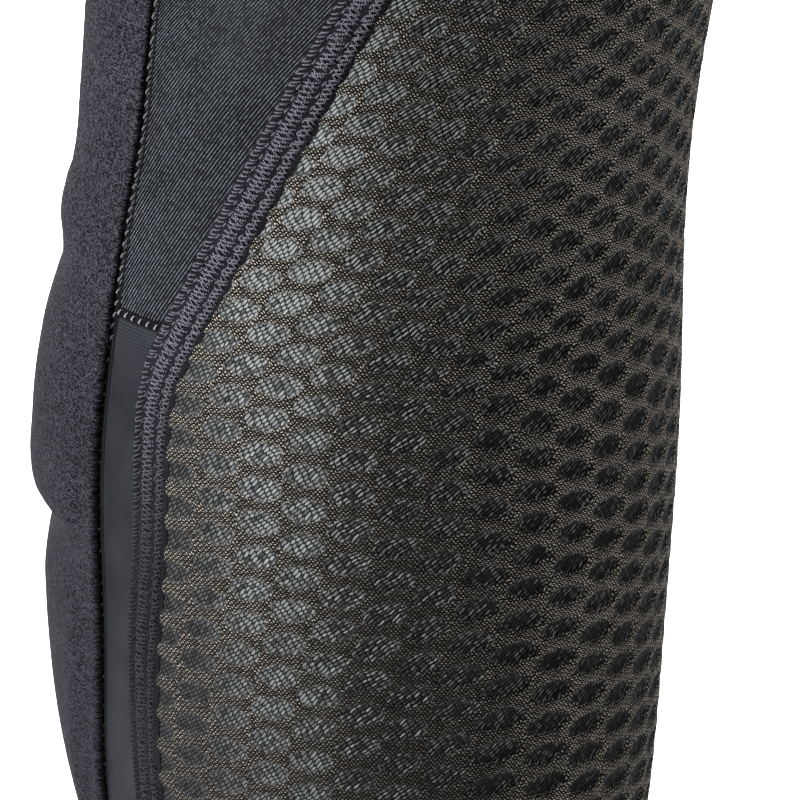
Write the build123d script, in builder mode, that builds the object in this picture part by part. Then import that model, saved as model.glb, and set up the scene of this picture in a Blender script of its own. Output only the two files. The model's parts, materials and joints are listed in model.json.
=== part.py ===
from build123d import *
import os
from math import cos, radians, sin

os.makedirs("parts", exist_ok=True)

# Long pull-on wrist guard for the right hand, in millimetres.
# +Z runs up the limb towards the elbow, -Y is the padded back of the hand and forearm,
# +X is the thumb side. The origin is on the limb's axis in the plane of the hand end.

# --- Driving dimensions ---------------------------------------------------------------

LENGTH = 290.0  # hand end to elbow end
HEM_TOP = 8.0  # hand hem, from 0
CUFF_BOTTOM = 268.0  # forearm cuff, up to LENGTH
WALL = 1.5  # knitted panels
BAND_WALL = 2.2  # hem and cuff
REACH = 80.0  # half-size of the cutting prisms

# Outline of the limb inside the guard: height, half-width, half-depth, centre towards the palm.
LIMB = [
    (0, 41.5, 21.5, 0.0),
    (22, 42.5, 23.0, 0.0),
    (36, 39.0, 24.0, 0.7),
    (48, 33.8, 24.8, 1.4),
    (62, 32.0, 25.6, 2.0),
    (78, 32.2, 27.4, 1.7),
    (104, 34.9, 32.5, 1.2),
    (132, 38.6, 37.9, 0.6),
    (162, 40.9, 40.4, 0.3),
    (193, 42.7, 42.2, 0.1),
    (224, 41.4, 41.0, 1.9),
    (239, 41.1, 40.7, 3.5),
    (254, 41.0, 40.6, 5.9),
    (LENGTH, 40.2, 39.8, 8.4),
]

# Side-view lines of the two long seams, as (towards the palm, height).
COVER_EDGE = [
    (-15.0, -5),
    (-16.5, 24),
    (-16.4, 62),
    (-20.0, 88),
    (-25.5, 112),
    (-29.8, 136),
    (-28.6, 150),
    (-26.6, 168),
    (-25.5, 188),
    (-22.3, 215),
    (-19.8, 230),
    (-17.0, 244),
    (-16.4, 262),
    (-15.5, LENGTH + 5),
]
FLATLOCK_BOW = [
    (-8.0, -5),
    (-9.0, 24),
    (-8.8, 62),
    (-11.0, 90),
    (-15.4, 116),
    (-18.0, 144),
    (-17.2, 166),
    (-14.6, 186),
    (-11.2, 211),
]
FLATLOCK_TOP = (33.8, LENGTH + 5)  # the seam runs straight to here
CROSS_SEAM = 214.8  # height of the seam between the two gussets
FLATLOCK_WIDTH = 7.0
STITCH_WIDTH = 1.6
SEAM_RISE = 0.8  # thread above the panels

# Padded back: a foam layer under a knitted cover, with raised pads.
COVER = 1.0
FOAM = 2.2
PAD_RISE = 3.0
# Pad name: lower end, upper end, half-width at each end.
PADS = {
    "hand_pad": (13, 45, 21, 17),
    "forearm_pad_lower": (124, 173, 14, 17.5),
    "forearm_pad_middle": (181, 216, 18, 18.5),
    "forearm_pad_upper": (223, 264, 18.5, 18.5),
}
PAD_CORNER = 6.0

# Splints, as (lower end, upper end, half-width).
DORSAL_SPLINT = (22, 116, 12)
PALMAR_SPLINT = (16, 108, 13)
PALMAR_POCKET = (11, 116, 20)
SPLINT_CORNER = 8.0
DORSAL_SPLINT_THICKNESS = 1.2
PALMAR_SPLINT_THICKNESS = 1.4
POCKET_WALL = 1.0
POCKET_RISE = 1.6

# Thumb hole in the thumb side: centre and half-sizes in the side view.
THUMB_Y, THUMB_Z = 7.0, 29.0
THUMB_HALF_Y, THUMB_HALF_Z = 10.0, 14.0
BINDING_WIDTH = 2.4
BINDING_RISE = 0.6

# Silicone gripper rings inside the cuff.
GRIPPER_HEIGHT, GRIPPER_STEP, GRIPPER_RINGS, GRIPPER_RISE = 3.0, 5.0, 3, 0.8

# Wrist strap: a straight elliptical band. Angles run from the back of the hand (0)
# through the thumb side (90), the palm (180) and the little-finger side (270).
STRAP_LOW, STRAP_HIGH = 50.0, 76.0
STRAP_A, STRAP_B, STRAP_CENTRE = 36.9, 32.4, 1.4
STRAP_WALL = 1.4
TAPE = 0.7  # hook tape and loop tape
TAPE_GAP = 0.3
TAB_WALL = 1.2
HINGE_ANGLE = 32.0
STRAP_START = 348.0  # anchored end, under the tab
TAB_END = -50.0
PULL_END = -61.0
HOOK_START, HOOK_END = -49.0, -15.0
LOOP_START, LOOP_END = 297.0, 346.0
ANCHOR_START, ANCHOR_END, ANCHOR_MARGIN = 262.0, 288.0, 4.0
STITCH_ANGLE, STITCH_WIDTH, STITCH_RISE = 2.5, 1.5, 0.5
NECK_SPAN = 3.0  # degrees of strap wall that carry the fold
PULL_RISE = 0.4
FOLD_RADIUS = 1.6
FOLD_GAP = 0.3
TAPE_EDGE = 2.0  # margin of the tapes inside the strap's edges

TAPE_OUT = STRAP_WALL + TAPE
HOOK_IN = TAPE_OUT + TAPE_GAP
TAB_IN = HOOK_IN + TAPE
TAB_OUT = TAB_IN + TAB_WALL


# --- Cutting and filling shapes -------------------------------------------------------


def limb_body(grow=0.0, towards_back=0.0):
    """The limb's outline as a solid, grown outwards and moved towards the back of the hand."""
    with BuildPart() as body:
        for height, half_width, half_depth, centre in LIMB:
            with BuildSketch(Plane.XY.offset(height)):
                with Locations((0, centre - towards_back)):
                    Ellipse(half_width + grow, half_depth + grow)
        loft()
    return body.part


def slab(low, high):
    """Everything between two heights."""
    with BuildPart() as block:
        with BuildSketch(Plane.XY.offset(low)):
            Rectangle(2 * REACH, 2 * REACH)
        extrude(amount=high - low)
    return block.part


def shifted(points, step):
    """A seam line moved towards the palm."""
    return [(y + step, z) for y, z in points]


def back_prism(edge, side):
    """All that lies behind a smooth side-view line: side is both, 1 (thumb) or -1 (little finger)."""
    with BuildPart() as prism:
        with BuildSketch(Plane.YZ):
            with BuildLine():
                Spline(*edge)
                Polyline(edge[-1], (-REACH, edge[-1][1]), (-REACH, edge[0][1]), edge[0])
            make_face()
        if side == "both":
            extrude(amount=REACH, both=True)
        else:
            extrude(amount=side * REACH)
    return prism.part


def flatlock_prism(step, side):
    """All that lies behind the flatlock line moved by step, which is a bow and then a straight."""
    bow = shifted(FLATLOCK_BOW, step)
    top = (FLATLOCK_TOP[0] + step, FLATLOCK_TOP[1])
    straight = Vector(top[0] - bow[-1][0], top[1] - bow[-1][1])
    with BuildPart() as prism:
        with BuildSketch(Plane.YZ):
            with BuildLine():
                Spline(*bow, tangents=[(0, 1), straight.normalized()])
                Polyline(bow[-1], top, (-REACH, top[1]), (-REACH, bow[0][1]), bow[0])
            make_face()
        extrude(amount=side * REACH)
    return prism.part


def front_prism(low, high, half_low, half_high, corner, reach):
    """A round-cornered block seen from the back of the hand; a negative reach goes to the palm."""
    with BuildPart() as prism:
        with BuildSketch(Plane.XZ) as outline:
            with BuildLine():
                Polyline((-half_low, low), (half_low, low), (half_high, high), (-half_high, high), close=True)
            make_face()
            fillet(outline.vertices(), radius=corner)
        extrude(amount=reach)
    return prism.part


def thumb_prism(margin):
    """The thumb hole's outline, grown by margin, pushed out through the thumb side."""
    with BuildPart() as prism:
        with BuildSketch(Plane.YZ):
            with Locations((THUMB_Y, THUMB_Z)):
                Ellipse(THUMB_HALF_Y + margin, THUMB_HALF_Z + margin)
        extrude(amount=REACH)
    return prism.part


def strap_point(angle, offset):
    """A point on the strap's ellipse, grown by offset."""
    turn = radians(angle)
    return (STRAP_A + offset) * sin(turn), STRAP_CENTRE - (STRAP_B + offset) * cos(turn)


def strap_layer(inner, outer, start, end, margin=0.0):
    """A stretch of the strap's band between two offsets and two angles."""
    steps = 8
    fan = [(0, STRAP_CENTRE)]
    fan += [strap_point(start + (end - start) * i / steps, REACH) for i in range(steps + 1)]
    with BuildPart() as layer:
        with BuildSketch(Plane.XY.offset(STRAP_LOW + margin)):
            with Locations((0, STRAP_CENTRE)):
                Ellipse(STRAP_A + outer, STRAP_B + outer)
                Ellipse(STRAP_A + inner, STRAP_B + inner, mode=Mode.SUBTRACT)
            with BuildLine():
                Polyline(*fan, close=True)
            make_face(mode=Mode.INTERSECT)
        extrude(amount=STRAP_HIGH - STRAP_LOW - 2 * margin)
    return layer.part


def fold_bead(radius):
    """The round fold on which the strap's tab peels open."""
    with BuildPart() as bead:
        with BuildSketch(Plane.XY.offset(STRAP_LOW)):
            with Locations(strap_point(HINGE_ANGLE, TAB_IN - FOLD_RADIUS + TAB_WALL)):
                Circle(radius)
        extrude(amount=STRAP_HIGH - STRAP_LOW)
    return bead.part


def save(part, name):
    part.label = name
    export_step(part, f"parts/{name}.step")


limb = limb_body()
tube = limb_body(WALL)
foam_face = limb_body(WALL, FOAM)
cover_face = limb_body(WALL + COVER, FOAM)
pad_face = limb_body(WALL, FOAM + PAD_RISE)
pad_cover_face = limb_body(WALL + COVER, FOAM + PAD_RISE)
panel_span = slab(HEM_TOP, CUFF_BOTTOM)
thumb_cut = thumb_prism(BINDING_WIDTH)


# --- Knitted panels of the sleeve -----------------------------------------------------

# One shell, cut into panels along the seams.
with BuildPart() as sleeve_wall:
    add(tube)
    add(limb, mode=Mode.SUBTRACT)
    add(panel_span, mode=Mode.INTERSECT)

flatlock_thumb = flatlock_prism(0, 1)
flatlock_little = flatlock_prism(0, -1)

with BuildPart() as mesh_panel:
    add(sleeve_wall.part)
    add(flatlock_thumb, mode=Mode.SUBTRACT)
    add(flatlock_little, mode=Mode.SUBTRACT)
    add(thumb_cut, mode=Mode.SUBTRACT)
save(mesh_panel.part, "mesh_panel")

cover_outline = back_prism(COVER_EDGE, "both")
with BuildPart() as dorsal_lining:
    add(sleeve_wall.part)
    add(cover_outline, mode=Mode.INTERSECT)
save(dorsal_lining.part, "dorsal_lining")

lower_span = slab(HEM_TOP, CROSS_SEAM)
upper_span = slab(CROSS_SEAM, CUFF_BOTTOM)
for side_name, behind_flatlock in (("radial", flatlock_thumb), ("ulnar", flatlock_little)):
    for level, span in (("lower", lower_span), ("upper", upper_span)):
        with BuildPart() as gusset:
            add(sleeve_wall.part)
            add(behind_flatlock, mode=Mode.INTERSECT)
            add(cover_outline, mode=Mode.SUBTRACT)
            add(span, mode=Mode.INTERSECT)
        save(gusset.part, f"{level}_gusset_{side_name}")


# --- Seams ----------------------------------------------------------------------------

seam_face = limb_body(WALL + SEAM_RISE)
with BuildPart() as seam_wall:
    add(seam_face)
    add(tube, mode=Mode.SUBTRACT)
    add(panel_span, mode=Mode.INTERSECT)

stitch_front = back_prism(shifted(COVER_EDGE, STITCH_WIDTH), "both")
for side_name, side in (("radial", 1), ("ulnar", -1)):
    flatlock_front = flatlock_prism(FLATLOCK_WIDTH / 2, side)
    flatlock_back = flatlock_prism(-FLATLOCK_WIDTH / 2, side)
    with BuildPart() as flatlock_seam:
        add(seam_wall.part)
        add(flatlock_front, mode=Mode.INTERSECT)
        add(flatlock_back, mode=Mode.SUBTRACT)
    save(flatlock_seam.part, f"flatlock_seam_{side_name}")

    # The lockstitch beside the cover's edge.
    stitch_side = back_prism(shifted(COVER_EDGE, STITCH_WIDTH), side)
    with BuildPart() as edge_seam:
        add(seam_wall.part)
        add(stitch_side, mode=Mode.INTERSECT)
        add(cover_outline, mode=Mode.SUBTRACT)
    save(edge_seam.part, f"edge_seam_{side_name}")

    cross_span = slab(CROSS_SEAM - STITCH_WIDTH / 2, CROSS_SEAM + STITCH_WIDTH / 2)
    with BuildPart() as cross_seam:
        add(seam_wall.part)
        add(flatlock_back, mode=Mode.INTERSECT)
        add(stitch_front, mode=Mode.SUBTRACT)
        add(cross_span, mode=Mode.INTERSECT)
    save(cross_seam.part, f"gusset_cross_seam_{side_name}")


# --- Splints --------------------------------------------------------------------------

low, high, half = DORSAL_SPLINT
splint_outline = front_prism(low, high, half, half, SPLINT_CORNER, REACH)
splint_face = limb_body(WALL, DORSAL_SPLINT_THICKNESS)
with BuildPart() as dorsal_splint:
    add(splint_face)
    add(splint_outline, mode=Mode.INTERSECT)
    add(tube, mode=Mode.SUBTRACT)
save(dorsal_splint.part, "dorsal_splint")

low, high, half = PALMAR_SPLINT
palm_outline = front_prism(low, high, half, half, SPLINT_CORNER, -REACH)
palm_face = limb_body(WALL, -PALMAR_SPLINT_THICKNESS)
with BuildPart() as palmar_splint:
    add(palm_face)
    add(palm_outline, mode=Mode.INTERSECT)
    add(tube, mode=Mode.SUBTRACT)
save(palmar_splint.part, "palmar_splint")

low, high, half = PALMAR_POCKET
pocket_outline = front_prism(low, high, half, half, SPLINT_CORNER, -REACH)
pocket_face = limb_body(WALL + POCKET_WALL, -POCKET_RISE)
with BuildPart() as palmar_pocket:
    add(pocket_face)
    add(pocket_outline, mode=Mode.INTERSECT)
    add(tube, mode=Mode.SUBTRACT)
    add(palmar_splint.part, mode=Mode.SUBTRACT)
save(palmar_pocket.part, "palmar_pocket")


# --- Padded back ----------------------------------------------------------------------

foam_outline = back_prism(shifted(COVER_EDGE, -COVER), "both")
foam_span = slab(HEM_TOP + COVER, CUFF_BOTTOM - COVER)
with BuildPart() as foam_body:
    add(foam_face)
    add(foam_outline, mode=Mode.INTERSECT)
    add(foam_span, mode=Mode.INTERSECT)
    add(tube, mode=Mode.SUBTRACT)

with BuildPart() as foam_base:
    add(foam_body.part)
    add(dorsal_splint.part, mode=Mode.SUBTRACT)
save(foam_base.part, "foam_base")

pad_bodies = {}
for pad_name, (low, high, half_low, half_high) in PADS.items():
    pad_outline = front_prism(low, high, half_low, half_high, PAD_CORNER, REACH)
    with BuildPart() as pad:
        add(pad_face)
        add(pad_outline, mode=Mode.INTERSECT)
        add(foam_face, mode=Mode.SUBTRACT)
    pad_bodies[pad_name] = pad.part
    save(pad.part, pad_name)

pad_shells = []
for low, high, half_low, half_high in PADS.values():
    shell_outline = front_prism(
        low - COVER, high + COVER, half_low + COVER, half_high + COVER, PAD_CORNER + COVER, REACH
    )
    with BuildPart() as pad_shell:
        add(pad_cover_face)
        add(shell_outline, mode=Mode.INTERSECT)
    pad_shells.append(pad_shell.part)

with BuildPart() as dorsal_cover:
    add(cover_face)
    add(cover_outline, mode=Mode.INTERSECT)
    add(panel_span, mode=Mode.INTERSECT)
    for shell in pad_shells:
        add(shell)
    add(tube, mode=Mode.SUBTRACT)
    add(foam_body.part, mode=Mode.SUBTRACT)
    for body in pad_bodies.values():
        add(body, mode=Mode.SUBTRACT)
save(dorsal_cover.part, "dorsal_cover")


# --- Hem, cuff, gripper and thumb binding ---------------------------------------------

band_face = limb_body(BAND_WALL)
for band_name, low, high in (("hand_hem", 0, HEM_TOP), ("cuff_band", CUFF_BOTTOM, LENGTH)):
    band_span = slab(low, high)
    with BuildPart() as band:
        add(band_face)
        add(limb, mode=Mode.SUBTRACT)
        add(band_span, mode=Mode.INTERSECT)
    save(band.part, band_name)

gripper_face = limb_body(-GRIPPER_RISE)
gripper_low = (CUFF_BOTTOM + LENGTH - (GRIPPER_RINGS - 1) * GRIPPER_STEP - GRIPPER_HEIGHT) / 2
ring_lows = [gripper_low + GRIPPER_STEP * ring for ring in range(GRIPPER_RINGS)]
with BuildPart() as ring_spans:
    for ring_low in ring_lows:
        with BuildSketch(Plane.XY.offset(ring_low)):
            Rectangle(2 * REACH, 2 * REACH)
        extrude(amount=GRIPPER_HEIGHT)
with BuildPart() as cuff_gripper:
    add(limb)
    add(gripper_face, mode=Mode.SUBTRACT)
    add(ring_spans.part, mode=Mode.INTERSECT)
save(cuff_gripper.part, "cuff_gripper")

binding_face = limb_body(WALL + BINDING_RISE)
binding_back = limb_body(-BINDING_RISE)
thumb_hole = thumb_prism(0)
with BuildPart() as thumb_binding:
    add(binding_face)
    add(binding_back, mode=Mode.SUBTRACT)
    add(thumb_cut, mode=Mode.INTERSECT)
    add(thumb_hole, mode=Mode.SUBTRACT)
save(thumb_binding.part, "thumb_binding")


# --- Wrist strap ----------------------------------------------------------------------

strap_band = strap_layer(0, STRAP_WALL, HINGE_ANGLE, STRAP_START)
fold = fold_bead(FOLD_RADIUS)
fold_clearance = fold_bead(FOLD_RADIUS + FOLD_GAP)
fold_neck = strap_layer(0, TAB_IN, HINGE_ANGLE, HINGE_ANGLE + NECK_SPAN)
with BuildPart() as wrist_strap:
    add(strap_band)
    add(fold_neck)
    add(fold)
    add(cover_face, mode=Mode.SUBTRACT)
save(wrist_strap.part, "wrist_strap")

loop_patch = strap_layer(STRAP_WALL, TAPE_OUT, LOOP_START, LOOP_END, TAPE_EDGE)
save(loop_patch, "loop_patch")

stitch_out = STRAP_WALL + STITCH_RISE
stitch_frame = strap_layer(STRAP_WALL, stitch_out, ANCHOR_START, ANCHOR_END, ANCHOR_MARGIN)
stitch_window = strap_layer(
    STRAP_WALL,
    stitch_out,
    ANCHOR_START + STITCH_ANGLE,
    ANCHOR_END - STITCH_ANGLE,
    ANCHOR_MARGIN + STITCH_WIDTH,
)
with BuildPart() as anchor_stitch:
    add(stitch_frame)
    add(stitch_window, mode=Mode.SUBTRACT)
save(anchor_stitch.part, "anchor_stitch")

tab_band = strap_layer(TAB_IN, TAB_OUT, TAB_END, HINGE_ANGLE)
with BuildPart() as strap_tab:
    add(tab_band)
    add(fold_clearance, mode=Mode.SUBTRACT)
save(strap_tab.part, "strap_tab")

hook_patch = strap_layer(HOOK_IN, TAB_IN, HOOK_START, HOOK_END, TAPE_EDGE)
save(hook_patch, "hook_patch")

pull_tab = strap_layer(HOOK_IN, TAB_OUT + PULL_RISE, PULL_END, TAB_END, TAPE_EDGE)
save(pull_tab, "pull_tab")

hinge = strap_point(HINGE_ANGLE, TAB_IN - FOLD_RADIUS + TAB_WALL)
print("strap tab hinge at", round(hinge[0], 3), round(hinge[1], 3))
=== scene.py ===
import json
import math

import bmesh
import bpy
import numpy as np
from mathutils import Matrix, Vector

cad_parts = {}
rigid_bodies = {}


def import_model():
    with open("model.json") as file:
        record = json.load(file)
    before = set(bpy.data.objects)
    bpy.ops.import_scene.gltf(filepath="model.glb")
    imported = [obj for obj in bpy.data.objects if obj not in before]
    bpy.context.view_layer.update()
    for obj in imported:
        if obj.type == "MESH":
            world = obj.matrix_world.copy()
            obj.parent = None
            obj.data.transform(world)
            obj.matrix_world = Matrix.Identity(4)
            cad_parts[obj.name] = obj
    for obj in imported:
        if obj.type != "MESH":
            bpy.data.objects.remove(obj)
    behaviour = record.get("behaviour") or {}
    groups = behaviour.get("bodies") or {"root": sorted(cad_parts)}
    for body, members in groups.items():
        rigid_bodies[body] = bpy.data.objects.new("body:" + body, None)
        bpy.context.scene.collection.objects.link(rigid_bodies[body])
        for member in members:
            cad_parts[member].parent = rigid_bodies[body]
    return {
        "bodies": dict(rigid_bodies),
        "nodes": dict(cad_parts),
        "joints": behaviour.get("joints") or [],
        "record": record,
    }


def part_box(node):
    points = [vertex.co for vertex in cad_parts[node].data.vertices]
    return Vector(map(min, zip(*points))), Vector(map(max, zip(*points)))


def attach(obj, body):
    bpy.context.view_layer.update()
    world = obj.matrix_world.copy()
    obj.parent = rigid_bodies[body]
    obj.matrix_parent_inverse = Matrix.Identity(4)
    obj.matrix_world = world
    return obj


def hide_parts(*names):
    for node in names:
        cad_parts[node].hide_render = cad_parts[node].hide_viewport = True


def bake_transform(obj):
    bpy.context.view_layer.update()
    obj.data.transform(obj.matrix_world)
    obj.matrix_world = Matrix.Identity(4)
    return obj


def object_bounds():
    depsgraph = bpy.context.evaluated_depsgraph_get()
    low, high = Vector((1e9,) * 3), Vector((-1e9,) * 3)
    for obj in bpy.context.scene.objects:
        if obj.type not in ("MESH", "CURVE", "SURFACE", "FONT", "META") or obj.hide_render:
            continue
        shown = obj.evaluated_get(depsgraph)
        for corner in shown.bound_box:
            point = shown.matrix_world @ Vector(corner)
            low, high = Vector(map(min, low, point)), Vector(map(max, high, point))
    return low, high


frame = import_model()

# Looks of a long pull-on wrist guard. Shapes are worked out in millimetres on the limb's own
# outline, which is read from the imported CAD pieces, and turned into metres as meshes are made.
# A place on the sleeve is (turn, height, lift): turn is the angle from the back of the hand
# towards the thumb side in radians, and lift is the distance out from the inner wall.

cad_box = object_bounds()
MM = 0.001


# --- Camera, light and floor ----------------------------------------------------------

AIM_HEIGHT = 0.1928
VIEW_AZIMUTH, VIEW_ELEVATION = 115, 20
VIEW_DISTANCE = 0.952
VIEW_SHIFT = 0.004  # how far to the right of the limb's axis the camera aims
LENS, SENSOR = 300, 36
FLOOR_RADIUS = 6.0
PAPER = 0.55  # albedo of the floor
AMBIENT = 0.08
LIT_HEIGHT = 0.16  # what the softboxes aim at, apart from the backdrop's
# name, azimuth, elevation, distance, width, height, watts and spread in degrees
SOFTBOXES = (
    ("key", 48, 16, 1.3, 0.3, 0.7, 12, 70),
    ("glint", 88, 0, 1.3, 0.08, 0.3, 0.7, 40),
    ("rim", 228, 15, 1.5, 0.5, 1.0, 1.5, 70),
    ("backdrop", VIEW_AZIMUTH + 180, 50, 1.2, 1.2, 0.9, 40, 75),
)


def direction(azimuth, elevation):
    """Unit vector from the object towards a place round it."""
    a, e = math.radians(azimuth), math.radians(elevation)
    return Vector((math.sin(a) * math.cos(e), -math.cos(a) * math.cos(e), math.sin(e)))


BEHIND = direction(VIEW_AZIMUTH + 180, 0) * 0.6  # the floor behind the object


def aim(obj, place, target):
    obj.location = place
    obj.rotation_mode = "QUATERNION"
    obj.rotation_quaternion = (Vector(target) - Vector(place)).to_track_quat("-Z", "Y")


def add_camera():
    camera = bpy.data.objects.new("camera", bpy.data.cameras.new("camera"))
    bpy.context.scene.collection.objects.link(camera)
    a = math.radians(VIEW_AZIMUTH)
    target = Vector((math.cos(a), math.sin(a), 0)) * VIEW_SHIFT + Vector((0, 0, AIM_HEIGHT))
    aim(camera, target + direction(VIEW_AZIMUTH, VIEW_ELEVATION) * VIEW_DISTANCE, target)
    camera.data.lens, camera.data.sensor_width = LENS, SENSOR
    camera.data.clip_start, camera.data.clip_end = 0.01, 50
    bpy.context.scene.camera = camera


def add_softbox(name, azimuth, elevation, distance, width, height, watts, spread, target):
    light = bpy.data.lights.new(name, "AREA")
    light.shape = "RECTANGLE"
    light.size, light.size_y = width, height
    light.energy = watts
    light.spread = math.radians(spread)
    obj = bpy.data.objects.new(name, light)
    bpy.context.scene.collection.objects.link(obj)
    aim(obj, target + direction(azimuth, elevation) * distance, target)


def add_studio():
    world = bpy.data.worlds.new("studio")
    world.use_nodes = True
    world.node_tree.nodes["Background"].inputs["Color"].default_value = (1, 1, 1, 1)
    world.node_tree.nodes["Background"].inputs["Strength"].default_value = AMBIENT
    bpy.context.scene.world = world
    for name, azimuth, elevation, distance, width, height, watts, spread in SOFTBOXES:
        target = BEHIND if name == "backdrop" else Vector((0, 0, LIT_HEIGHT))
        add_softbox(name, azimuth, elevation, distance, width, height, watts, spread, target)

    material = bpy.data.materials.new("floor_paper")
    material.use_nodes = True
    shader = material.node_tree.nodes["Principled BSDF"]
    shader.inputs["Base Color"].default_value = (PAPER, PAPER, PAPER, 1)
    shader.inputs["Roughness"].default_value = 0.9
    bpy.ops.mesh.primitive_circle_add(vertices=96, radius=FLOOR_RADIUS, fill_type="NGON")
    floor = bpy.context.active_object
    floor.name = "floor"
    floor.location.z = cad_box[0].z
    floor.data.materials.append(material)
    bpy.context.scene.view_settings.view_transform = "Standard"


# --- The limb's outline, read from the frame ------------------------------------------

WALL = 1.5
SIDES = (("radial", 1), ("ulnar", -1))  # the thumb side, where turn is positive, and the other
SLEEVE_NODES = (
    "mesh_panel",
    "dorsal_lining",
    "hand_hem",
    "cuff_band",
    "lower_gusset_radial",
    "upper_gusset_radial",
    "lower_gusset_ulnar",
    "upper_gusset_ulnar",
)
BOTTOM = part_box("hand_hem")[0].z / MM
HEM_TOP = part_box("hand_hem")[1].z / MM
CUFF_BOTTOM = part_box("cuff_band")[0].z / MM
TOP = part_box("cuff_band")[1].z / MM
CROSS_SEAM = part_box("upper_gusset_radial")[0].z / MM


def triangles(node):
    """A CAD node's triangles, in millimetres, as an array of (triangle, corner, axis)."""
    mesh = frame["nodes"][node].data
    mesh.calc_loop_triangles()
    points = np.empty(3 * len(mesh.vertices))
    corners = np.empty(3 * len(mesh.loop_triangles), int)
    mesh.vertices.foreach_get("co", points)
    mesh.loop_triangles.foreach_get("vertices", corners)
    return points.reshape(-1, 3)[corners.reshape(-1, 3)] / MM


def section(faces, height):
    """The (x, y) points where triangles' edges pass through a height."""
    found = []
    for first, second in ((0, 1), (1, 2), (2, 0)):
        p, q = faces[:, first], faces[:, second]
        cut = (p[:, 2] - height) * (q[:, 2] - height) < 0
        share = (height - p[cut, 2]) / (q[cut, 2] - p[cut, 2])
        found.append(p[cut] + share[:, None] * (q[cut] - p[cut]))
    return np.vstack(found)[:, :2]


def ellipse_through(points):
    """Half-width, half-depth and centre of the upright ellipse nearest to the points."""
    x, y = points.T
    p, q, r = np.linalg.lstsq(np.column_stack([x * x, y * y, y]), np.ones(len(x)), rcond=None)[0]
    centre = -r / (2 * q)
    size = 1 + q * centre**2
    return math.sqrt(size / p), math.sqrt(size / q), centre


def inner_ellipse(points):
    """The ellipse of the inner wall, from a section that has both walls' points."""
    chosen = points
    for limits in ((-1, 0), (-1, 0.006), (-0.006, 0.006)):
        half_width, half_depth, centre = ellipse_through(chosen)
        reach = np.hypot(points[:, 0] / half_width, (points[:, 1] - centre) / half_depth) - 1
        chosen = points[(reach > limits[0]) & (reach < limits[1])]
    return ellipse_through(chosen)


def smooth_curve(at, values):
    """A smooth function through measured values."""
    at, values = np.asarray(at, float), np.asarray(values, float)
    slopes = np.gradient(values, at)

    def read(place):
        place = np.asarray(place, float)
        i = np.clip(np.searchsorted(at, place) - 1, 0, len(at) - 2)
        step = at[i + 1] - at[i]
        s = np.clip((place - at[i]) / step, 0, 1)
        start, end = values[i], values[i + 1]
        return (
            start * (1 + 2 * s) * (1 - s) ** 2
            + end * s * s * (3 - 2 * s)
            + step * s * (1 - s) * (slopes[i] * (1 - s) - slopes[i + 1] * s)
        )

    return read


def smooth_step(low, high, value):
    s = np.clip((value - low) / (high - low), 0, 1)
    return s * s * (3 - 2 * s)


sleeve_faces = np.vstack([triangles(node) for node in SLEEVE_NODES])
levels = np.linspace(BOTTOM + 0.05, TOP - 0.05, 49)
outline = np.array([inner_ellipse(section(sleeve_faces, z)) for z in levels])
half_width_at = smooth_curve(levels, outline[:, 0])
half_depth_at = smooth_curve(levels, outline[:, 1])
centre_at = smooth_curve(levels, outline[:, 2])

panel_levels = np.linspace(HEM_TOP + 0.3, CUFF_BOTTOM - 0.3, 66)
lining_faces = triangles("dorsal_lining")
gusset_faces = np.vstack([triangles("lower_gusset_radial"), triangles("upper_gusset_radial")])
cover_line = smooth_curve(panel_levels, [section(lining_faces, z)[:, 1].max() for z in panel_levels])
flatlock_line = smooth_curve(panel_levels, [section(gusset_faces, z)[:, 1].max() for z in panel_levels])


def surface(turn, height, lift):
    """Points on or above the sleeve, in millimetres."""
    turn, height, lift = np.broadcast_arrays(turn, height, lift)
    x = (half_width_at(height) + lift) * np.sin(turn)
    y = centre_at(height) - (half_depth_at(height) + lift) * np.cos(turn)
    return np.stack([x, y, height], -1)


def turn_of(line_y, height):
    """The turn, on the thumb side, where the outer wall is at this y."""
    share = (centre_at(height) - line_y) / (half_depth_at(height) + WALL)
    return np.arccos(np.clip(share, -1, 1))


def cover_turn(height):
    return turn_of(cover_line(height), height)


def flatlock_turn(height):
    return turn_of(flatlock_line(height), height)


def reach_per_turn(turn, height):
    """Millimetres along the outer wall for one radian of turn."""
    across = (half_width_at(height) + WALL) * np.cos(turn)
    down = (half_depth_at(height) + WALL) * np.sin(turn)
    return np.hypot(across, down)


# --- Meshes ---------------------------------------------------------------------------

WEAVE_RADIUS = 44.0
SHARP_ANGLE = 55


def weave_map(turn, height):
    """Where a point lies in the fabric, in millimetres round and up."""
    return np.stack(np.broadcast_arrays(WEAVE_RADIUS * turn, height), -1)


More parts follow.
